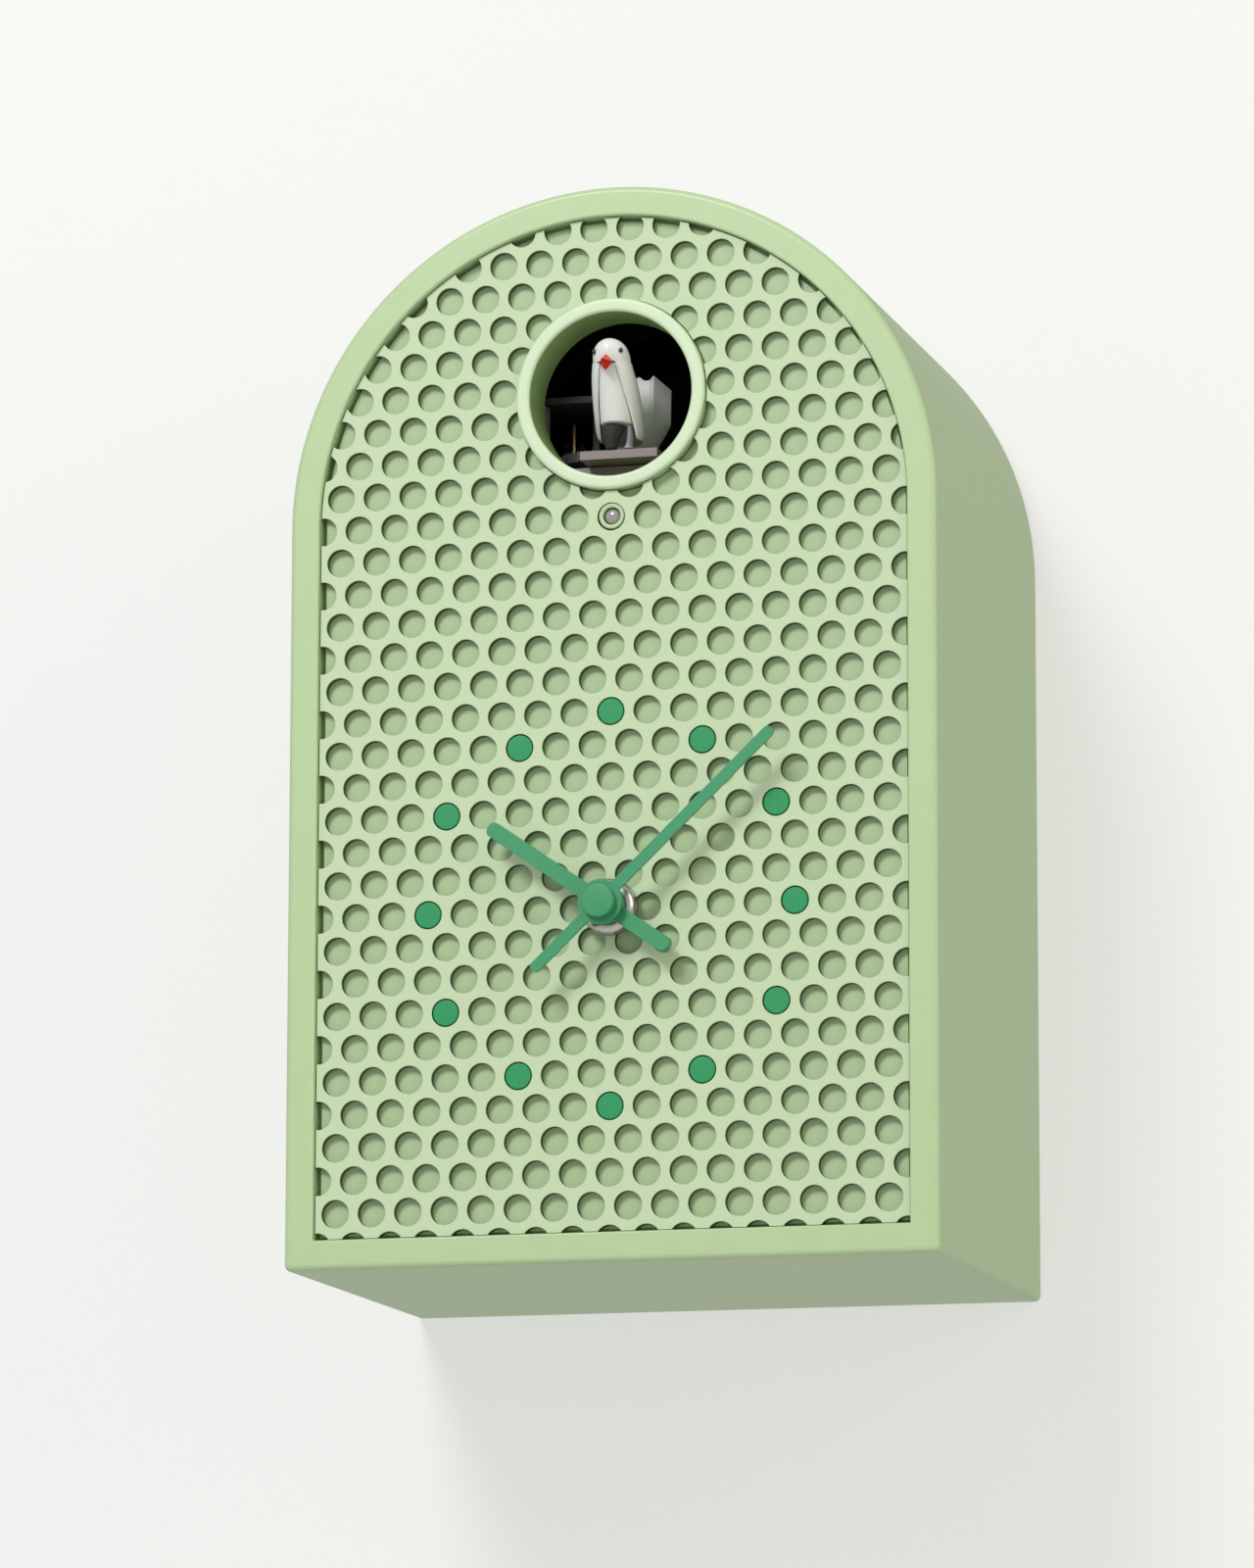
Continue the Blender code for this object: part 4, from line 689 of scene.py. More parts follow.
def arch_block(name: str, inset: float, low: float, high: float, sides: int = 192) -> Piece:
    """A block with the case's arched outline.

    Args:
        name: The piece's name.
        inset: How far its outline lies inside the case's.
        low: Where its front is, along Y.
        high: Where its back is.
        sides: How many sides its full circle would have.

    Returns:
        The block.
    """
    bpy.ops.mesh.primitive_cylinder_add(vertices=sides, radius=CASE_RADIUS - inset, depth=high - low,
                                        location=(0, (low + high) / 2, ARCH_HEIGHT),
                                        rotation=Axis.Y.turn)
    piece = started(name)
    with editing(piece, everything=True):
        bpy.ops.mesh.bisect(plane_co=(0, 0, ARCH_HEIGHT), plane_no=(0, 0, 1), use_fill=True, clear_inner=True)
        pick_faces(piece, lambda centre, normal: centre.z < ARCH_HEIGHT + 1e-5 and abs(normal.z) > 0.9)
        bpy.ops.mesh.extrude_region_move(TRANSFORM_OT_translate={"value": (0, 0, inset - ARCH_HEIGHT)})
        bpy.ops.mesh.select_all(action="SELECT")
        bpy.ops.mesh.normals_make_consistent(inside=False)
    return piece


# ---------------------------------------------------------------- the clock


@dataclass
class Case:
    """The arched box: a bent lacquered wall with a ledge for the front and one for the back."""

    wall: float = 9.0 * MM
    ledge: float = 5.0 * MM
    ledge_depth: float = 6.0 * MM
    edge: float = 1.9 * MM
    rim_edge: float = 0.7 * MM

    def build(self) -> None:
        """Models the wall, its recesses and its rounded edges."""
        front, back = CASE_LOW.y, CASE_HIGH.y
        front_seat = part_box("backing_panel")[1].y + SEAT
        back_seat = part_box("back_cover")[0].y - SEAT
        past = 2 * MM
        shell = eased(arch_block("case_arch", 0, front, back), self.edge, 5)
        through = self.wall + self.ledge
        cut(shell,
            arch_block("through_tool", through, front - past, back + past),
            arch_block("front_tool", self.wall, front - past, front_seat),
            arch_block("cavity_tool", self.wall, front_seat + self.ledge_depth, back_seat - self.ledge_depth),
            arch_block("back_tool", self.wall, back_seat, back + past))
        inner_radius = CASE_RADIUS - self.wall
        with editing(shell, "EDGE"):
            pick_edges(shell, lambda a, b: all(
                min(abs(point.y - front), abs(point.y - back)) < 1e-5
                and self._inner(point, inner_radius) for point in (a, b)))
            bpy.ops.mesh.bevel(offset=self.rim_edge, segments=3, profile=0.5)
        dress(shell, Slot.LACQUER)
        # Painted shade: the inside faces of the case take the near-black of the shaded cavity.
        paint_faces(shell, INSIDE_PAINTED_SHADE, lambda centre, normal: front_seat + MM < centre.y < back_seat - MM
                    and self._depth_inside(centre) > self.wall / 2)
        mount(smoothed(shell, 30), "clock", "case_shell")

    def _inner(self, point: Vector, radius: float) -> bool:
        """True where a point lies on the inner outline of the wall."""
        return abs(self._depth_inside(point) - (CASE_RADIUS - radius)) < 0.05 * MM

    def _depth_inside(self, point: Vector) -> float:
        """How far inside the case's outline a point lies."""
        if point.z > ARCH_HEIGHT:
            return CASE_RADIUS - math.hypot(point.x, point.z - ARCH_HEIGHT)
        return min(CASE_RADIUS - abs(point.x), point.z)


@dataclass
class Front:
    """The perforated grille with its dots, the window ring and the light sensor."""

    hole: float = 8.5 * MM
    hole_pitch: float = 11.27 * MM
    row_pitch: float = 9.86 * MM
    hole_sides: int = 32
    deeper: float = 0.9 * MM
    panel_window: float = 29.55 * MM
    panel_hub: float = 4.2 * MM
    lip: float = 0.22 * MM
    ring_edge: float = 1.0 * MM
    ring_sides: int = 128
    dot_edge: float = 0.35 * MM

    def build(self) -> None:
        """Models the front's pieces."""
        self._build_panel()
        self._build_grille()
        self._build_ring()
        self._build_dots()
        self._build_sensor()

    def _build_panel(self) -> None:
        """The panel that closes the grille's holes from behind, with its three openings."""
        low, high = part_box("backing_panel")
        panel = arch_block("hole_backing", CASE_RADIUS - high.x, low.y + self.deeper, high.y)
        ends = (low.y - MM, high.y + MM)
        for tool, radius, height in (("window_tool", self.panel_window, middle_of("window_collar").z),
                                     ("sensor_tool", self.hole / 2, middle_of("sensor_bush").z),
                                     ("hub_tool", self.panel_hub, HUB.z)):
            cut(panel, turned(tool, [(0, ends[0]), (radius, ends[0]), (radius, ends[1]), (0, ends[1])],
                              Vector((0, 0, height)), sides=96))
        dress(panel, Slot.LACQUER)
        mount(smoothed(panel, 30), "clock", "backing_panel")

    def _row_tool(self, row: int, low: float, high: float) -> Piece:
        """The cutters of one row of holes, each flaring at the front into a rounded lip.

        Args:
            row: The row's number, counted up from the hub's.
            low: The grille's front, along Y.
            high: Its back.

        Returns:
            The row's cutters as one object.
        """
        height = HUB.z + row * self.row_pitch
        radius = self.hole / 2
        over = max(height - ARCH_HEIGHT, 0)
        reach = math.sqrt(max((CASE_RADIUS - 6 * MM) ** 2 - over ** 2, 0))
        offset = self.hole_pitch / 2 if row % 2 else 0.0
        columns = int((reach - offset) / self.hole_pitch)
        count = 2 * columns + (2 if row % 2 else 1)
        start = -columns * self.hole_pitch - offset
        lip = [(radius + (self.lip - self.lip * math.cos(turn)), low + self.lip - self.lip * math.sin(turn))
               for turn in (0, math.pi / 6, math.pi / 3, math.pi / 2)]
        end = low - 0.6 * MM
        rings = [(0, high + MM), (radius, high + MM), *lip, (radius + self.lip, end), (0, end)]
        tool = turned(f"row_tool_{row}", rings, Vector((start, 0, height)), sides=self.hole_sides)
        return modify(tool, "ARRAY", count=count, use_relative_offset=False, use_constant_offset=True,
                      constant_offset_displace=(self.hole_pitch, 0, 0))

    def _build_grille(self) -> None:
        """The grille: an arched plate with a staggered field of holes, cut at its border as they fall."""
        low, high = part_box("dial_grille")
        back = high.y + self.deeper
        collar_low, collar_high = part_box("window_collar")
        window = (collar_low + collar_high) / 2
        grille = arch_block("perforated_grille", CASE_RADIUS - high.x, low.y, back)
        bottom = int((HUB.z - low.z) / self.row_pitch + 0.9)
        top = int((high.z - HUB.z) / self.row_pitch + 0.5)
        opening = self._ring_outer() + SEAT
        past = 2 * MM
        cut(grille, turned("window_tool", [(0, low.y - past), (opening, low.y - past), (opening, back + past),
                                           (0, back + past)],
                           Vector((0, 0, window.z)), sides=self.ring_sides))
        tools = [self._row_tool(row, low.y, back) for row in range(-bottom, top + 1)]
        cut(grille, gathered(tools), solver="MANIFOLD")
        dress(grille, Slot.GRILLE)
        # Painted shade: the hole walls are painted dark for the shade inside the holes.
        paint_faces(grille, HOLE_WALL_PAINTED_SHADE, lambda centre, normal: abs(normal.y) < 0.6)
        mount(smoothed(grille, 12, weighted=False), "clock", "dial_grille")

    def _ring_outer(self) -> float:
        """The outer radius of the window ring where it passes through the grille."""
        return 29.25 * MM

    def _build_ring(self) -> None:
        """The ring round the window: a rounded front, a plain bore, and a flange behind the panel."""
        low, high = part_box("window_collar")
        centre = Vector((0, 0, middle_of("window_collar").z))
        bore = 25.15 * MM
        outer = self._ring_outer()
        flange = (high.x - low.x) / 2
        flange_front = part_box("backing_panel")[1].y + SEAT
        flange_back = flange_front + 2 * MM
        edge = self.ring_edge
        outside = rounded_rim(outer, low.y, edge, -1)
        inside = list(reversed(rounded_rim(bore, low.y, edge, -1, inner=True)))
        rings = [(bore, high.y), (outer, high.y), (outer, flange_back), (flange, flange_back),
                 (flange, flange_front), (outer, flange_front), *outside, *inside, (bore, high.y)]
        ring = turned("window_ring", rings, centre, sides=self.ring_sides)
        bush_low, bush_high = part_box("sensor_bush")
        bush = middle_of("sensor_bush")
        notch = (bush_high.x - bush_low.x) / 2 + 2 * SEAT
        cut(ring, turned("notch_tool", [(0, flange_front - MM), (notch, flange_front - MM),
                                        (notch, flange_back + MM), (0, flange_back + MM)],
                         Vector((0, 0, bush.z)), sides=48))
        dress(ring, Slot.LACQUER)
        # Painted light on the ring's front, painted shade in its bore.
        paint_faces(ring, RING_FRONT_PAINTED_LIGHT, lambda centre, normal: centre.y < low.y + self.ring_edge)
        paint_faces(ring, BORE_PAINTED_SHADE, lambda point, normal: point.y > low.y + self.ring_edge
                    and (point - centre).cross(Axis.Y.direction).length < (bore + outer) / 2)
        mount(smoothed(ring, 40), "clock", "window_collar")

    def _build_dots(self) -> None:
        """The twelve hour dots: round plugs that fill holes of the grille."""
        for hour in range(1, 13):
            node = f"hour_marker_{hour:02d}"
            low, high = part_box(node)
            radius = (high.z - low.z) / 2
            centre = Vector(((low.x + high.x) / 2, 0, (low.z + high.z) / 2))
            face = rounded_rim(radius, low.y, self.dot_edge, -1)
            dot = turned(f"hour_dot_{hour:02d}", [(0, high.y), (radius, high.y), *face, (0, low.y)], centre, sides=40)
            dress(dot, Slot.DOT)
            mount(smoothed(dot, 40), "clock", node)

    def _build_sensor(self) -> None:
        """The light sensor: a painted bush with a clear domed lens set down inside it."""
        low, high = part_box("sensor_bush")
        centre = Vector((0, 0, middle_of("sensor_bush").z))
        collar = (high.x - low.x) / 2
        outer = collar - MM
        lens_low, lens_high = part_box("light_sensor")
        lens_radius = (lens_high.x - lens_low.x) / 2
        inside = lens_radius + SEAT
        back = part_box("backing_panel")[1].y + SEAT
        edge = 0.35 * MM
        rings = [(inside, high.y), (collar, high.y), (collar, back), (outer, back),
                 *rounded_rim(outer, low.y, edge, -1), *reversed(rounded_rim(inside, low.y, edge, -1, inner=True)),
                 (inside, high.y)]
        bush = turned("sensor_ring", rings, centre, sides=48)
        dress(bush, Slot.LACQUER)
        mount(smoothed(bush, 40), "clock", "sensor_bush")
        dome = [(lens_radius * math.cos(turn), lens_low.y + lens_radius * 0.45 * (1 - math.sin(turn)))
                for turn in (0, 0.3, 0.6, 0.9, 1.2)]
        lens = turned("sensor_lens", [(0, lens_high.y), (lens_radius, lens_high.y), *dome, (0, lens_low.y)], centre,
                      sides=40)
        dress(lens, Slot.GLASS)
        mount(smoothed(lens, 50), "clock", "light_sensor")


@dataclass
class Hands:
    """The hands, their cap, and the nut and washer that hold the movement to the front."""

    hour_length: float = 43.0 * MM
    hour_tail: float = 24.0 * MM
    hour_width: float = 4.7 * MM
    hour_hub: float = 6.0 * MM
    minute_length: float = 72.0 * MM
    minute_tail: float = 28.5 * MM
    minute_width: float = 3.3 * MM
    minute_hub: float = 6.7 * MM
    edge: float = 0.3 * MM
    nut_rim: float = 2.5 * MM
    nut_edge: float = 0.5 * MM
    nut_recess: float = 1.6 * MM
    boss_gap: float = 0.3 * MM
    bush_front: float = -73.5 * MM

    def build(self) -> None:
        """Models the stack on the hub."""
        low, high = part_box("hour_hand")
        hour = self._hand("hour_hand_blade", low.y, high.y, self.hour_length, self.hour_tail, self.hour_width,
                          self.hour_hub, self._angle("hour_hand", self.hour_length))
        boss_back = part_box("dial_nut")[0].y - self.boss_gap
        weld_on(hour, turned("boss_tool", [(0, high.y - 0.2 * MM), (self.hour_hub, high.y - 0.2 * MM),
                                           (self.hour_hub, boss_back), (0, boss_back)], HUB_LINE, sides=72))
        self._bore(hour, "hour_wheel")
        room = 4.2 * MM
        cut(hour, turned("bush_tool", [(0, boss_back + MM), (room, boss_back + MM), (room, self.bush_front - SEAT),
                                       (0, self.bush_front - SEAT)], HUB_LINE, sides=48))
        dress(hour, Slot.HAND)
        mount(smoothed(hour, 35), "hour_train", "hour_hand")
        low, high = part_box("minute_hand")
        minute = self._hand("minute_hand_blade", low.y, high.y, self.minute_length, self.minute_tail,
                            self.minute_width, self.minute_hub, self._angle("minute_hand", self.minute_length))
        self._bore(minute, "minute_shaft")
        dress(minute, Slot.HAND)
        mount(smoothed(minute, 35), "minute_train", "minute_hand")
        self._build_cap()
        self._build_nut()

    def _angle(self, node: str, length: float) -> float:
        """How far a hand is turned clockwise from 12, read from its box.

        Args:
            node: The hand's node.
            length: The hand's length from the hub; not used.

        Returns:
            The turn in radians.
        """
        low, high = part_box(node)
        across = low.x if abs(low.x) > high.x else high.x
        return math.atan2(across, high.z - HUB.z)

    def _hand(self, name: str, low: float, high: float, length: float, tail: float, width: float, hub: float,
              angle: float) -> Piece:
        """A parallel blade with rounded ends through a round hub.

        Args:
            name: The piece's name.
            low: Its front, along Y.
            high: Its back.
            length: From the hub to the tip.
            tail: From the hub to the tail's end.
            width: The blade's width.
            hub: The hub's radius.
            angle: Its turn clockwise from 12.

        Returns:
            The hand.
        """
        half = width / 2
        blade = block(name, (-half, low, HUB.z - tail), (half, high, HUB.z + length), edge=0)
        with editing(blade, "EDGE"):
            pick_edges(blade, lambda a, b: abs(a.x - b.x) < 1e-6 and abs(a.z - b.z) < 1e-6)
            bpy.ops.mesh.bevel(offset=half * 0.86, segments=6, profile=0.5)
        with editing(blade, everything=True):
            bpy.ops.transform.rotate(value=angle, orient_axis="Y", center_override=HUB)
        if (max(blade.data.vertices, key=lambda v: abs(v.co.z - HUB.z)).co.x > 0) != (math.sin(angle) > 0):
            with editing(blade, everything=True):
                bpy.ops.transform.rotate(value=-2 * angle, orient_axis="Y", center_override=HUB)
        weld_on(blade, turned("hub_tool", [(0, high), (hub, high), (hub, low), (0, low)], HUB_LINE, sides=72))
        return eased(blade, self.edge, 3, 50)

    def _bore(self, hand: Piece, shaft: str) -> None:
        """Cuts the hole that a hand is pressed onto its shaft with."""
        low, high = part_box(hand_shaft(shaft))
        radius = SHAFT_RADII[shaft] + SEAT
        cut(hand, turned("bore_tool", [(0, low.y - MM), (radius, low.y - MM), (radius, high.y + MM), (0, high.y + MM)],
                         HUB_LINE, sides=40))

    def _build_cap(self) -> None:
        """The cap on the hands: a round plate with a broad chamfer."""
        low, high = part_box("hand_cap")
        radius = (high.x - low.x) / 2
        chamfer = 0.55 * MM
        rings = [(0, high.y), (radius - 0.2 * MM, high.y), (radius, high.y - 0.2 * MM), (radius, low.y + chamfer),
                 (radius - chamfer * 0.3, low.y + chamfer * 0.3), (radius - chamfer, low.y), (0, low.y)]
        cap = turned("hand_cap_plate", rings, HUB_LINE, sides=72)
        bore = SHAFT_RADII["minute_shaft"] + SEAT
        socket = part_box("minute_shaft")[0].y - SEAT
        cut(cap, turned("socket_tool", [(0, socket), (bore, socket), (bore, high.y + MM), (0, high.y + MM)], HUB_LINE,
                        sides=40))
        dress(cap, Slot.HAND)
        mount(smoothed(cap, 25), "minute_train", "hand_cap")

    def _build_nut(self) -> None:
        """The polished ring nut, whose recess floor is painted dark as painted shade and dark reflection, and the
        washer under it.
        """
        low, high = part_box("dial_nut")
        radius = (high.x - low.x) / 2
        bore = 4.2 * MM
        recess = low.y + self.nut_recess
        inside = radius - self.nut_rim
        rise = high.y - self.nut_edge - low.y
        crown = [(inside + self.nut_rim * math.cos(turn), low.y + rise * (1 - math.sin(turn)))
                 for turn in (math.pi / 2 * step / 8 for step in range(9))]
        rings = [(bore, high.y), (radius, high.y), *crown, (inside - 0.25 * MM, low.y + 0.25 * MM),
                 (inside - 0.5 * MM, recess), (bore, recess), (bore, high.y)]
        nut = turned("ring_nut", rings, HUB_LINE, sides=96)
        dress(nut, Slot.STEEL)
        # Painted shade and dark reflection on the recess floor.
        paint_faces(nut, NUT_FLOOR_PAINTED_SHADE_AND_REFLECTION, lambda centre, normal: abs(centre.y - recess) < 0.05 * MM)
        mount(smoothed(nut, 40), "clock", "dial_nut")
        low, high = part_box("dial_washer")
        radius = (high.x - low.x) / 2
        face = rounded_rim(radius, low.y, 0.25 * MM, -1, 3)
        rings = [(bore, high.y), (radius, high.y), *face, (bore, low.y), (bore, high.y)]
        washer = turned("fibre_washer_ring", rings, HUB_LINE, sides=72)
        dress(washer, Slot.FIBRE_WASHER)
        mount(smoothed(washer, 40), "clock", "dial_washer")


HUB_LINE = Vector((HUB.x, 0, HUB.z))
SHAFT_RADII = {"minute_shaft": 1.6 * MM, "hour_wheel": 2.6 * MM}


def hand_shaft(node: str) -> str:
    """The node whose length a hand's bore is cut along."""
    return node


@dataclass
class Bird:
    """The bird: a smooth leaning body, folded wings, a two-part beak, bead eyes, legs and a fanned tail."""

    lean: float = 0.34
    body_bottom: float = 6.9 * MM
    eye_radius: float = 0.72 * MM
    wing_thickness: float = 1.1 * MM
    wing_lifts: tuple[float, ...] = (9.0, 18.0, 27.0, 35.0)
    tail_fan: float = 11.2 * MM
    tail_fold: float = 7.4 * MM
    tail_height: float = 25.0 * MM
    tail_ridge: float = 1.6 * MM
    tail_ridge_rise: float = 0.6
    tail_thickness: float = 1.1 * MM
    tail_sweep: float = 1.6
    tail_tilt: float = 1.5 * MM
    tail_fall: float = 0.9
    tail_scallop: float = 2.3 * MM

    def build(self) -> None:
        """Models the bird's pieces."""
        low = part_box("bird_lower_body")[0]
        self.foot = Vector((0, joint_at("wing_left_lift").y + self.lean * (joint_at("wing_left_lift").z - low.z), low.z))
        self._build_body()
        self._build_legs()
        self._build_beak()
        self._build_mouth()
        self._build_eyes()
        for side in Side:
            self._build_wing(side)
        self._build_tail()

    def _level(self, height: float, half_x: float, half_y: float, back: float = 0.0) -> Level:
        """A level of the bird, carried forward by its lean; the sizes are in millimetres."""
        return Level(height * MM, half_x * MM, half_y * MM, 0.0, -self.lean * height * MM + back * MM)

    def _build_body(self) -> None:
        """The white head and breast in one, with a crisp lower edge."""
        body = stacked("bird_breast", self._breast(0.0), self.foot, sides=20)
        dress(body, Slot.WHITE)
        mount(smoothed(body, 60, weighted=False), "bird", "bird_body")

    def _breast(self, growth: float) -> list[Level]:
        """The levels of the breast and head, made larger by a growth in millimetres."""
        top = (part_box("bird_body")[1].z - self.foot.z) / MM
        shape = [
            (6.9, 4.5, 5.3), (6.95, 4.8, 5.7), (7.3, 4.9, 5.8), (11, 4.9, 5.9), (16, 4.8, 5.9), (19.5, 4.9, 6.0),
            (22, 5.5, 6.2), (top - 6.8, 5.9, 6.4), (top - 3.6, 5.5, 6.0), (top - 1.5, 4.1, 4.5),
            (top - 0.35, 2.2, 2.4), (top, 0.8, 0.9),
        ]
        return [self._level(height, half_x + growth, half_y + growth) for height, half_x, half_y in shape]

    def _build_legs(self) -> None:
        """Two tapering legs under the body, the left one painted near-black as painted shade."""
        dark = [(0.0, 1.7, 1.9, -2.5, 0.0), (0.2, 1.9, 2.2, -2.5, 0.0), (1.2, 1.9, 2.4, -2.4, -0.5),
                (3.2, 2.7, 3.2, -1.9, -1.2), (6.2, 3.6, 4.4, -1.0, -2.1), (6.6, 3.5, 4.3, -1.0, -2.3)]
        lilac = [(0.0, 1.6, 2.0, 2.6, 1.0), (0.2, 1.8, 2.2, 2.6, 1.0), (0.9, 1.1, 1.6, 2.9, 0.7),
                 (3.0, 0.9, 2.0, 3.6, -0.4), (6.2, 0.7, 2.6, 3.9, -1.4), (6.6, 0.6, 2.5, 3.9, -1.5)]
        # The left leg's near-black is painted shade.
        for side, finish, shape in ((Side.LEFT, LEG_PAINTED_SHADE, dark), (Side.RIGHT, LEG_LILAC, lilac)):
            levels = [Level(*(size * MM for size in row)) for row in shape]
            leg = stacked(f"bird_leg_{side.word}", levels, self.foot, sides=12)
            dress(leg, Slot.GREY, finish)
            mount(smoothed(leg, 60, weighted=False), "bird", *(("bird_lower_body",) if side is Side.LEFT else ()))

    def _build_beak(self) -> None:
        """The beak's two halves, each half of a four-sided spike."""
        pivot = joint_at("beak_open")
        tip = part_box("beak_upper")[0].y
        for node, body, up, tall, root in (("beak_upper", "bird", 1, 2.9 * MM, MM),
                                           ("beak_lower", "beak_lower", -1, 2.5 * MM, 0)):
            length = pivot.y + root - tip
            bpy.ops.mesh.primitive_cone_add(vertices=4, radius1=tall, radius2=0.25 * MM, depth=length,
                                            location=(0, tip + length / 2, pivot.z), rotation=(math.pi / 2, 0, 0))
            beak = started(node + "_shell")
            with editing(beak, everything=True):
                bpy.ops.transform.resize(value=(2.3 * MM / tall, 1, 1), center_override=pivot)
                bpy.ops.mesh.bisect(plane_co=(0, 0, pivot.z + up * SEAT / 2), plane_no=(0, 0, 1), use_fill=True,
                                    clear_inner=up > 0, clear_outer=up < 0)
                bpy.ops.mesh.select_all(action="SELECT")
                bpy.ops.mesh.normals_make_consistent(inside=False)
            eased(beak, 0.18 * MM, 3, 30)
            dress(beak, Slot.RED)
            mount(smoothed(beak, 35), body, node)

    def _build_mouth(self) -> None:
        """The dark line between the beak's halves, a little wider than they are."""
        pivot = joint_at("beak_open")
        half = 0.1 * MM
        mouth = block("beak_line", (-2.5 * MM, pivot.y - 0.9 * MM, pivot.z - half),
                      (2.9 * MM, pivot.y + 1.2 * MM, pivot.z + half), 0.04 * MM)
        dress(mouth, Slot.BLACK, MOUTH)
        mount(mouth, "bird")

    def _build_eyes(self) -> None:
        """Two bead eyes, set into the sides of the head."""
        beak = joint_at("beak_open")
        for side in Side:
            height = beak.z + 3.9 * MM - self.foot.z
            middle = self.foot + Vector((0, -self.lean * height, height))
            out = Vector((side.value * 4.15, -4.25, 0)) * MM
            bpy.ops.mesh.primitive_uv_sphere_add(segments=24, ring_count=16, radius=self.eye_radius,
                                                 location=middle + out)
            eye = started(f"bird_eye_{side.word}")
            with editing(eye, everything=True):
                bpy.ops.transform.resize(value=(0.9, 0.9, 1.15), center_override=middle + out)
            dress(eye, Slot.BLACK, EYE_BLACK)
            mount(smoothed(eye, 60, weighted=False), "bird")

    def _build_wing(self, side: Side) -> None:
        """A thin wing that wraps the side of the body like half a cape, open in front over the breast.

        Args:
            side: Which wing.
        """
        thick = self.wing_thickness / MM
        shape = [(1.5, 7.3, 9.0, 4.2), (6, 7.5, 9.0, 3.6), (12, 7.5, 8.5, 2.6), (17, 7.2, 7.8, 1.5),
                 (20.5, 6.75, 7.2, 0.6), (23, 6.2, 6.7, 0.1), (24.2, 6.05, 6.55, 0.0), (24.5, 6.0, 6.5, 0.0)]
        outer = [self._level(*level) for level in shape]
        inner = [self._level(height, half_x - thick, half_y - thick, back) for height, half_x, half_y, back in shape]
        inner = [self._level(0.5, 6.0, 7.6, 4.4), *inner, self._level(26, 4.6, 5.1)]
        wing = cut(stacked(f"bird_wing_{side.word}", outer, self.foot, sides=24, smooth=2),
                   stacked("wing_hollow_tool", inner, self.foot, sides=24, smooth=2),
                   stacked("wing_breast_tool", self._breast(0.32), self.foot, sides=20))
        for lift in self.wing_lifts:
            cut(wing, self._lifted_breast(side, lift))
        top = self._front_point(side, 2.2, 23.6, 0.0)
        bottom = self._front_point(side, 6.6, 2.0, 6.0)
        across = Vector((side.value * 0.75, -0.65, 0))
        normal = (bottom - top).cross(across).normalized()
        kept = self.foot + Vector((side.value * 7.0, -self.lean * 13 * MM + 6 * MM, 13 * MM))
        if (kept - top).dot(normal) < 0:
            normal.negate()
        with editing(wing, everything=True):
            bpy.ops.mesh.bisect(plane_co=top, plane_no=normal, use_fill=True, clear_inner=True)
            bpy.ops.mesh.select_all(action="SELECT")
            bpy.ops.mesh.bisect(plane_co=(side.value * 3.2 * MM, 0, 0), plane_no=(side.value, -0.12, 0.1),
                                use_fill=True, clear_inner=True)
            bpy.ops.mesh.select_all(action="SELECT")
            bpy.ops.mesh.normals_make_consistent(inside=False)
        eased(wing, 0.12 * MM, 2, 60)
        dress(wing, Slot.WHITE)
        mount(smoothed(wing, 40), f"wing_{side.word}", f"wing_{side.word}")

    def _lifted_breast(self, side: Side, lift: float) -> Piece:
        """The breast as a wing meets it when the wing is lifted.

        Args:
            side: Which wing.
            lift: How far the wing is lifted, in degrees.

        Returns:
            The breast, turned the other way about the wing's hinge.
        """
        hinge = Matrix.Translation(joint_at(f"wing_{side.word}_lift"))
        tool = stacked("lifted_breast_tool", self._breast(0.2), self.foot, sides=20)
        turn = Matrix.Rotation(side.value * math.radians(lift), 4, "Y")
        tool.matrix_world = hinge @ turn @ hinge.inverted()
        return settle(tool)

    def _front_point(self, side: Side, half: float, height: float, back: float) -> Vector:
        """A point on a wing's front edge; the sizes are in millimetres."""
        return self.foot + Vector((side.value * half, -self.lean * height - 6.0 + back, height)) * MM

    def _build_tail(self) -> None:
        """The fanned tail: an upright pleated leaf, its sides swept back and its top edge scalloped."""
        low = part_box("bird_tail")[0]
        base = Vector((0, middle_of("bird_tail").y - 1.2 * MM, low.z))
        fan = self.tail_fan
        tail = block("bird_tail_fan", base - Vector((fan, self.tail_thickness, 0)),
                     base + Vector((fan, 0, self.tail_height)), edge=0)
        with editing(tail, everything=True):
            for side in Side:
                for fold in (self.tail_fold, self.tail_fold - self.tail_ridge, (self.tail_fold + fan) / 2):
                    bpy.ops.mesh.select_all(action="SELECT")
                    bpy.ops.mesh.bisect(plane_co=(side.value * fold, 0, 0), plane_no=(1, 0, 0))
            for share in (0.12, 0.45, 0.75):
                bpy.ops.mesh.select_all(action="SELECT")
                bpy.ops.mesh.bisect(plane_co=(0, 0, base.z + share * self.tail_height), plane_no=(0, 0, 1))
        for point in tail.data.vertices:
            height = (point.co.z - base.z) / self.tail_height
            beyond = max(abs(point.co.x) - self.tail_fold, 0)
            ridge = min(max(abs(point.co.x) - self.tail_fold + self.tail_ridge, 0), self.tail_ridge)
            point.co.y += beyond * self.tail_sweep + height * self.tail_tilt - ridge * self.tail_ridge_rise
            point.co.z -= beyond * height ** 2 * self.tail_fall
            point.co.x *= 0.35 + 0.65 * math.sin(math.pi / 2 * min(height / 0.45, 1))
        for place in (-1, 0, 1):
            centre = base + Vector((place * self.tail_fold * 2 / 3, 0, self.tail_height + 1.1 * MM))
            cut(tail, turned("scallop_tool", [(0, -8 * MM), (self.tail_scallop, -8 * MM), (self.tail_scallop, 8 * MM),
                                              (0, 8 * MM)], centre, sides=40))
        eased(tail, 0.2 * MM, 2, 30)
        dress(tail, Slot.WHITE)
        mount(smoothed(tail, 25), "bird", "bird_tail")


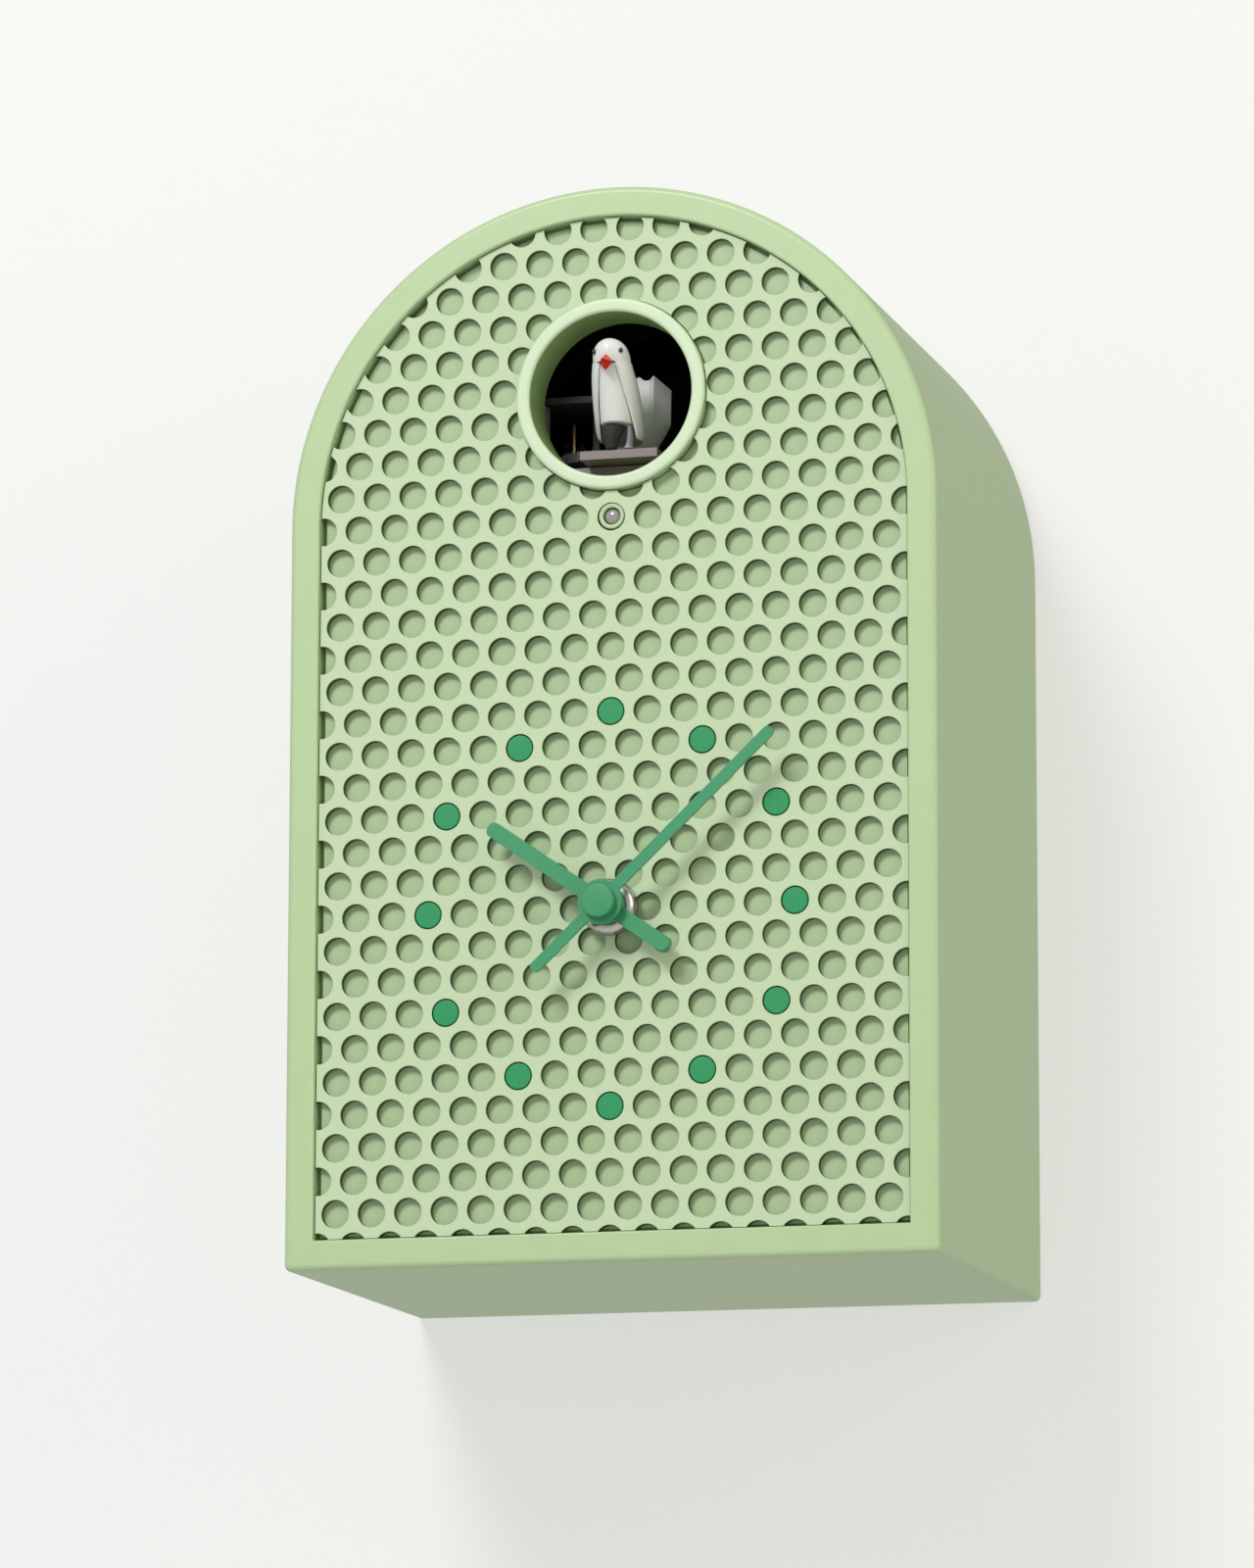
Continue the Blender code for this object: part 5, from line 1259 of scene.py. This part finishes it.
@dataclass
class Back:
    """The back: the two knobs, the battery door with its grip, and the cover's screws."""

    knob_thickness: float = 2.8 * MM
    setting_stem: float = 1.6 * MM
    volume_stem: float = 3.0 * MM
    knob_edge: float = 0.5 * MM
    ridge_depth: float = 0.055
    dish_depth: float = 0.7 * MM
    groove_count: int = 6
    groove_pitch: float = 3.0 * MM
    groove_width: float = 1.3 * MM
    groove_depth: float = 0.8 * MM
    groove_half_length: float = 14.0 * MM
    recess_width: float = 0.8 * MM
    recess_length: float = 2.8 * MM
    recess_depth: float = 1.0 * MM

    def build(self) -> None:
        """Models the back's pieces."""
        self._build_knob("setting_knob", "hand_setting_knob", "minute_train", self.setting_stem, 30)
        self._build_knob("volume_knob", "volume_dial", "volume_knob", self.volume_stem, 26)
        self._build_door()
        for side in Side:
            self._build_screw(side)

    def _build_knob(self, node: str, name: str, body: str, stem: float, ridges: int) -> None:
        """A knob with a knurled edge and a dished face, on its stem.

        Args:
            node: The knob's node.
            name: The piece's name.
            body: The body that it turns with.
            stem: The stem's radius.
            ridges: How many ridges its edge has.
        """
        low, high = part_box(node)
        centre = Vector(((low.x + high.x) / 2, 0, (low.z + high.z) / 2))
        radius = (high.x - low.x) / 2
        plate = high.y - self.knob_thickness
        dish = high.y - self.dish_depth
        rings = [(0, low.y), (stem, low.y), (stem, plate), (radius, plate),
                 *rounded_rim(radius, high.y, self.knob_edge, 1), (radius * 0.62, high.y), (radius * 0.52, dish),
                 (0, dish)]
        knob = turned(name, rings, centre, sides=ridges * 4)
        step = math.tau / (ridges * 4)
        with editing(knob, "VERT"):
            mesh = bmesh.from_edit_mesh(knob.data)
            for point in mesh.verts:
                out = point.co - centre
                place = round(math.atan2(out.z, out.x) / step) % 4
                point.select_set(math.hypot(out.x, out.z) > radius - self.knob_edge * 1.1 and place < 2)
            bmesh.update_edit_mesh(knob.data)
            share = 1 - self.ridge_depth
            bpy.ops.transform.resize(value=(share, 1, share), center_override=centre)
        dress(knob, Slot.BLACK)
        mount(smoothed(knob, 30), body, node)

    def _build_door(self) -> None:
        """The battery door: a sliding plate with a patch of finger grooves."""
        low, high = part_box("battery_door")
        door = block("battery_hatch", low, high, 0.5 * MM, 3)
        middle = (low.z + high.z) / 2
        for number in range(self.groove_count):
            height = middle + (number - (self.groove_count - 1) / 2) * self.groove_pitch
            reach = self.groove_half_length - abs(height - middle) * 0.6
            cut(door, block("groove_tool", (-reach, high.y - self.groove_depth, height - self.groove_width / 2),
                            (reach, high.y + MM, height + self.groove_width / 2), 0))
        eased(door, 0.15 * MM, 2, 50)
        dress(door, Slot.BLACK)
        mount(smoothed(door, 30), "battery_door", "battery_door")

    def _build_screw(self, side: Side) -> None:
        """A pan-head screw with a cross recess.

        Args:
            side: Which of the two screws.
        """
        node = f"cover_screw_{side.word}"
        low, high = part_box(node)
        centre = Vector(((low.x + high.x) / 2, 0, (low.z + high.z) / 2))
        head = (high.x - low.x) / 2
        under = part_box("back_cover")[1].y + SEAT
        dome = [(head * math.cos(turn), under + (high.y - under) * (0.35 + 0.65 * math.sin(turn)))
                for turn in (0.0, 0.35, 0.7, 1.05, 1.35)]
        rings = [(0, low.y), (0.8 * MM, low.y + MM), (1.5 * MM, low.y + 3 * MM), (1.5 * MM, under), (head, under), *dome,
                 (0, high.y)]
        screw = turned(f"back_screw_{side.word}", rings, centre, sides=32)
        half_width = self.recess_width / 2
        half_length = self.recess_length / 2
        for half_x, half_z in ((half_width, half_length), (half_length, half_width)):
            cut(screw, block("recess_tool", centre + Vector((-half_x, high.y - self.recess_depth, -half_z)),
                             centre + Vector((half_x, high.y + MM, half_z)), 0))
        dress(screw, Slot.STEEL)
        mount(smoothed(screw, 35), "clock", node)


@dataclass
class InnerParts:
    """The parts that keep their own meshes and take a finish."""

    def dress(self) -> None:
        """Gives each part of the working model its slot's finish."""
        for part in frame["record"]["subparts"]:
            node = frame["nodes"][part["node"]]
            slot = Slot(part["material_slot"])
            node.data.materials.clear()
            node.data.materials.append(FINISHES[slot].material())


@dataclass
class Studio:
    """The wall and floor, the lights and the camera."""

    camera_place: Point = (0.5955, -2.2082, -0.2534)
    camera_yaw: float = 15.418
    camera_pitch: float = 10.106
    camera_roll: float = 0.12
    lens: float = 174.61
    key_direction: Point = (-0.26, -1.0, 0.68)
    key_distance: float = 2.6
    key_size: float = 0.75
    key_power: float = 31.5
    fill_direction: Point = (1.0, -0.45, 0.35)
    fill_size: float = 1.6
    fill_power: float = 12.0
    fill_colour: Point = (1.0, 0.93, 0.66)
    ambient: float = 0.48
    wall_glow: float = 0.505

    def build(self) -> None:
        """Sets up everything that isn't the clock."""
        self._build_backdrop()
        self._build_lights()
        self._build_camera()
        bpy.context.scene.view_settings.view_transform = "Standard"

    def _build_backdrop(self) -> None:
        """A white wall behind the clock and a pale floor far below it."""
        wall_finish = Finish("wall_paint", (0.44, 0.44, 0.44), 0.9, mottle=0.006, mottle_size=60 * MM,
                             grain=0.05 * MM, grain_size=3 * MM)
        bpy.ops.mesh.primitive_plane_add(size=8, location=(0, CASE_HIGH.y + 0.2 * MM, 2.8),
                                         rotation=(math.pi / 2, 0, 0))
        wall = started("wall")
        wall.data.materials.append(self._one_sided(wall_finish.material()))
        wall.visible_shadow = False
        wall.visible_diffuse = False
        wall.visible_glossy = False
        bpy.ops.mesh.primitive_plane_add(size=8, location=(0, CASE_HIGH.y - 4, -1.2))
        floor = started("floor")
        floor_finish = Finish("floor_paint", (0.80, 0.80, 0.79), 0.8, mottle=0.01, mottle_size=90 * MM)
        floor.data.materials.append(floor_finish.material())

    def _one_sided(self, material: bpy.types.Material) -> bpy.types.Material:
        """Lets the wall be seen through from behind.

        Args:
            material: The wall's material.

        Returns:
            The same material.
        """
        nodes = material.node_tree.nodes
        links = material.node_tree.links
        nodes["Principled BSDF"].inputs["Emission Color"].default_value = (1, 1, 0.985, 1)
        nodes["Principled BSDF"].inputs["Emission Strength"].default_value = self.wall_glow
        clear = nodes.new("ShaderNodeBsdfTransparent")
        mixed = nodes.new("ShaderNodeMixShader")
        side = nodes.new("ShaderNodeNewGeometry")
        links.new(side.outputs["Backfacing"], mixed.inputs["Fac"])
        links.new(nodes["Principled BSDF"].outputs["BSDF"], mixed.inputs[1])
        links.new(clear.outputs["BSDF"], mixed.inputs[2])
        links.new(mixed.outputs["Shader"], nodes["Material Output"].inputs["Surface"])
        return material

    def _build_lights(self) -> None:
        """A soft key from above the front left, and an even pale surround."""
        self._build_lamp("key", self.key_direction, self.key_size, self.key_power, (1, 1, 1))
        self._build_lamp("fill", self.fill_direction, self.fill_size, self.fill_power, self.fill_colour)
        world = bpy.data.worlds.new("surround")
        world.use_nodes = True
        world.node_tree.nodes["Background"].inputs["Color"].default_value = (1.0, 1.0, 0.985, 1)
        world.node_tree.nodes["Background"].inputs["Strength"].default_value = self.ambient
        bpy.context.scene.world = world

    def _build_lamp(self, name: str, direction: Point, size: float, power: float, colour: Point) -> None:
        """A square soft lamp that points at the clock.

        Args:
            name: The lamp's name.
            direction: The way from the clock to the lamp.
            size: The lamp's side.
            power: Its power in watts.
            colour: Its colour.
        """
        towards = Vector(direction).normalized()
        bpy.ops.object.light_add(type="AREA", location=Vector((0, 0, 0.16)) + towards * self.key_distance,
                                 rotation=towards.to_track_quat("Z", "Y").to_euler())
        lamp = bpy.context.object
        lamp.name = name
        lamp.data.size = size
        lamp.data.energy = power
        lamp.data.color = colour

    def _build_camera(self) -> None:
        """The camera: below and to the right of the clock, looking up at it."""
        data = bpy.data.cameras.new("camera")
        data.lens = self.lens
        data.sensor_width = 36
        camera = bpy.data.objects.new("camera", data)
        camera.location = self.camera_place
        turn = Euler((math.pi / 2 + math.radians(self.camera_pitch), 0, math.radians(self.camera_yaw)))
        roll = Euler((0, 0, math.radians(self.camera_roll)))
        camera.rotation_euler = (turn.to_matrix() @ roll.to_matrix()).to_euler()
        bpy.context.scene.collection.objects.link(camera)
        bpy.context.scene.camera = camera


def main() -> None:
    """Builds the studio and the clock."""
    logging.basicConfig(level=logging.INFO, format="%(message)s")
    Studio().build()
    InnerParts().dress()
    Case().build()
    Front().build()
    Hands().build()
    Bird().build()
    Back().build()


if __name__ == "__main__":
    main()
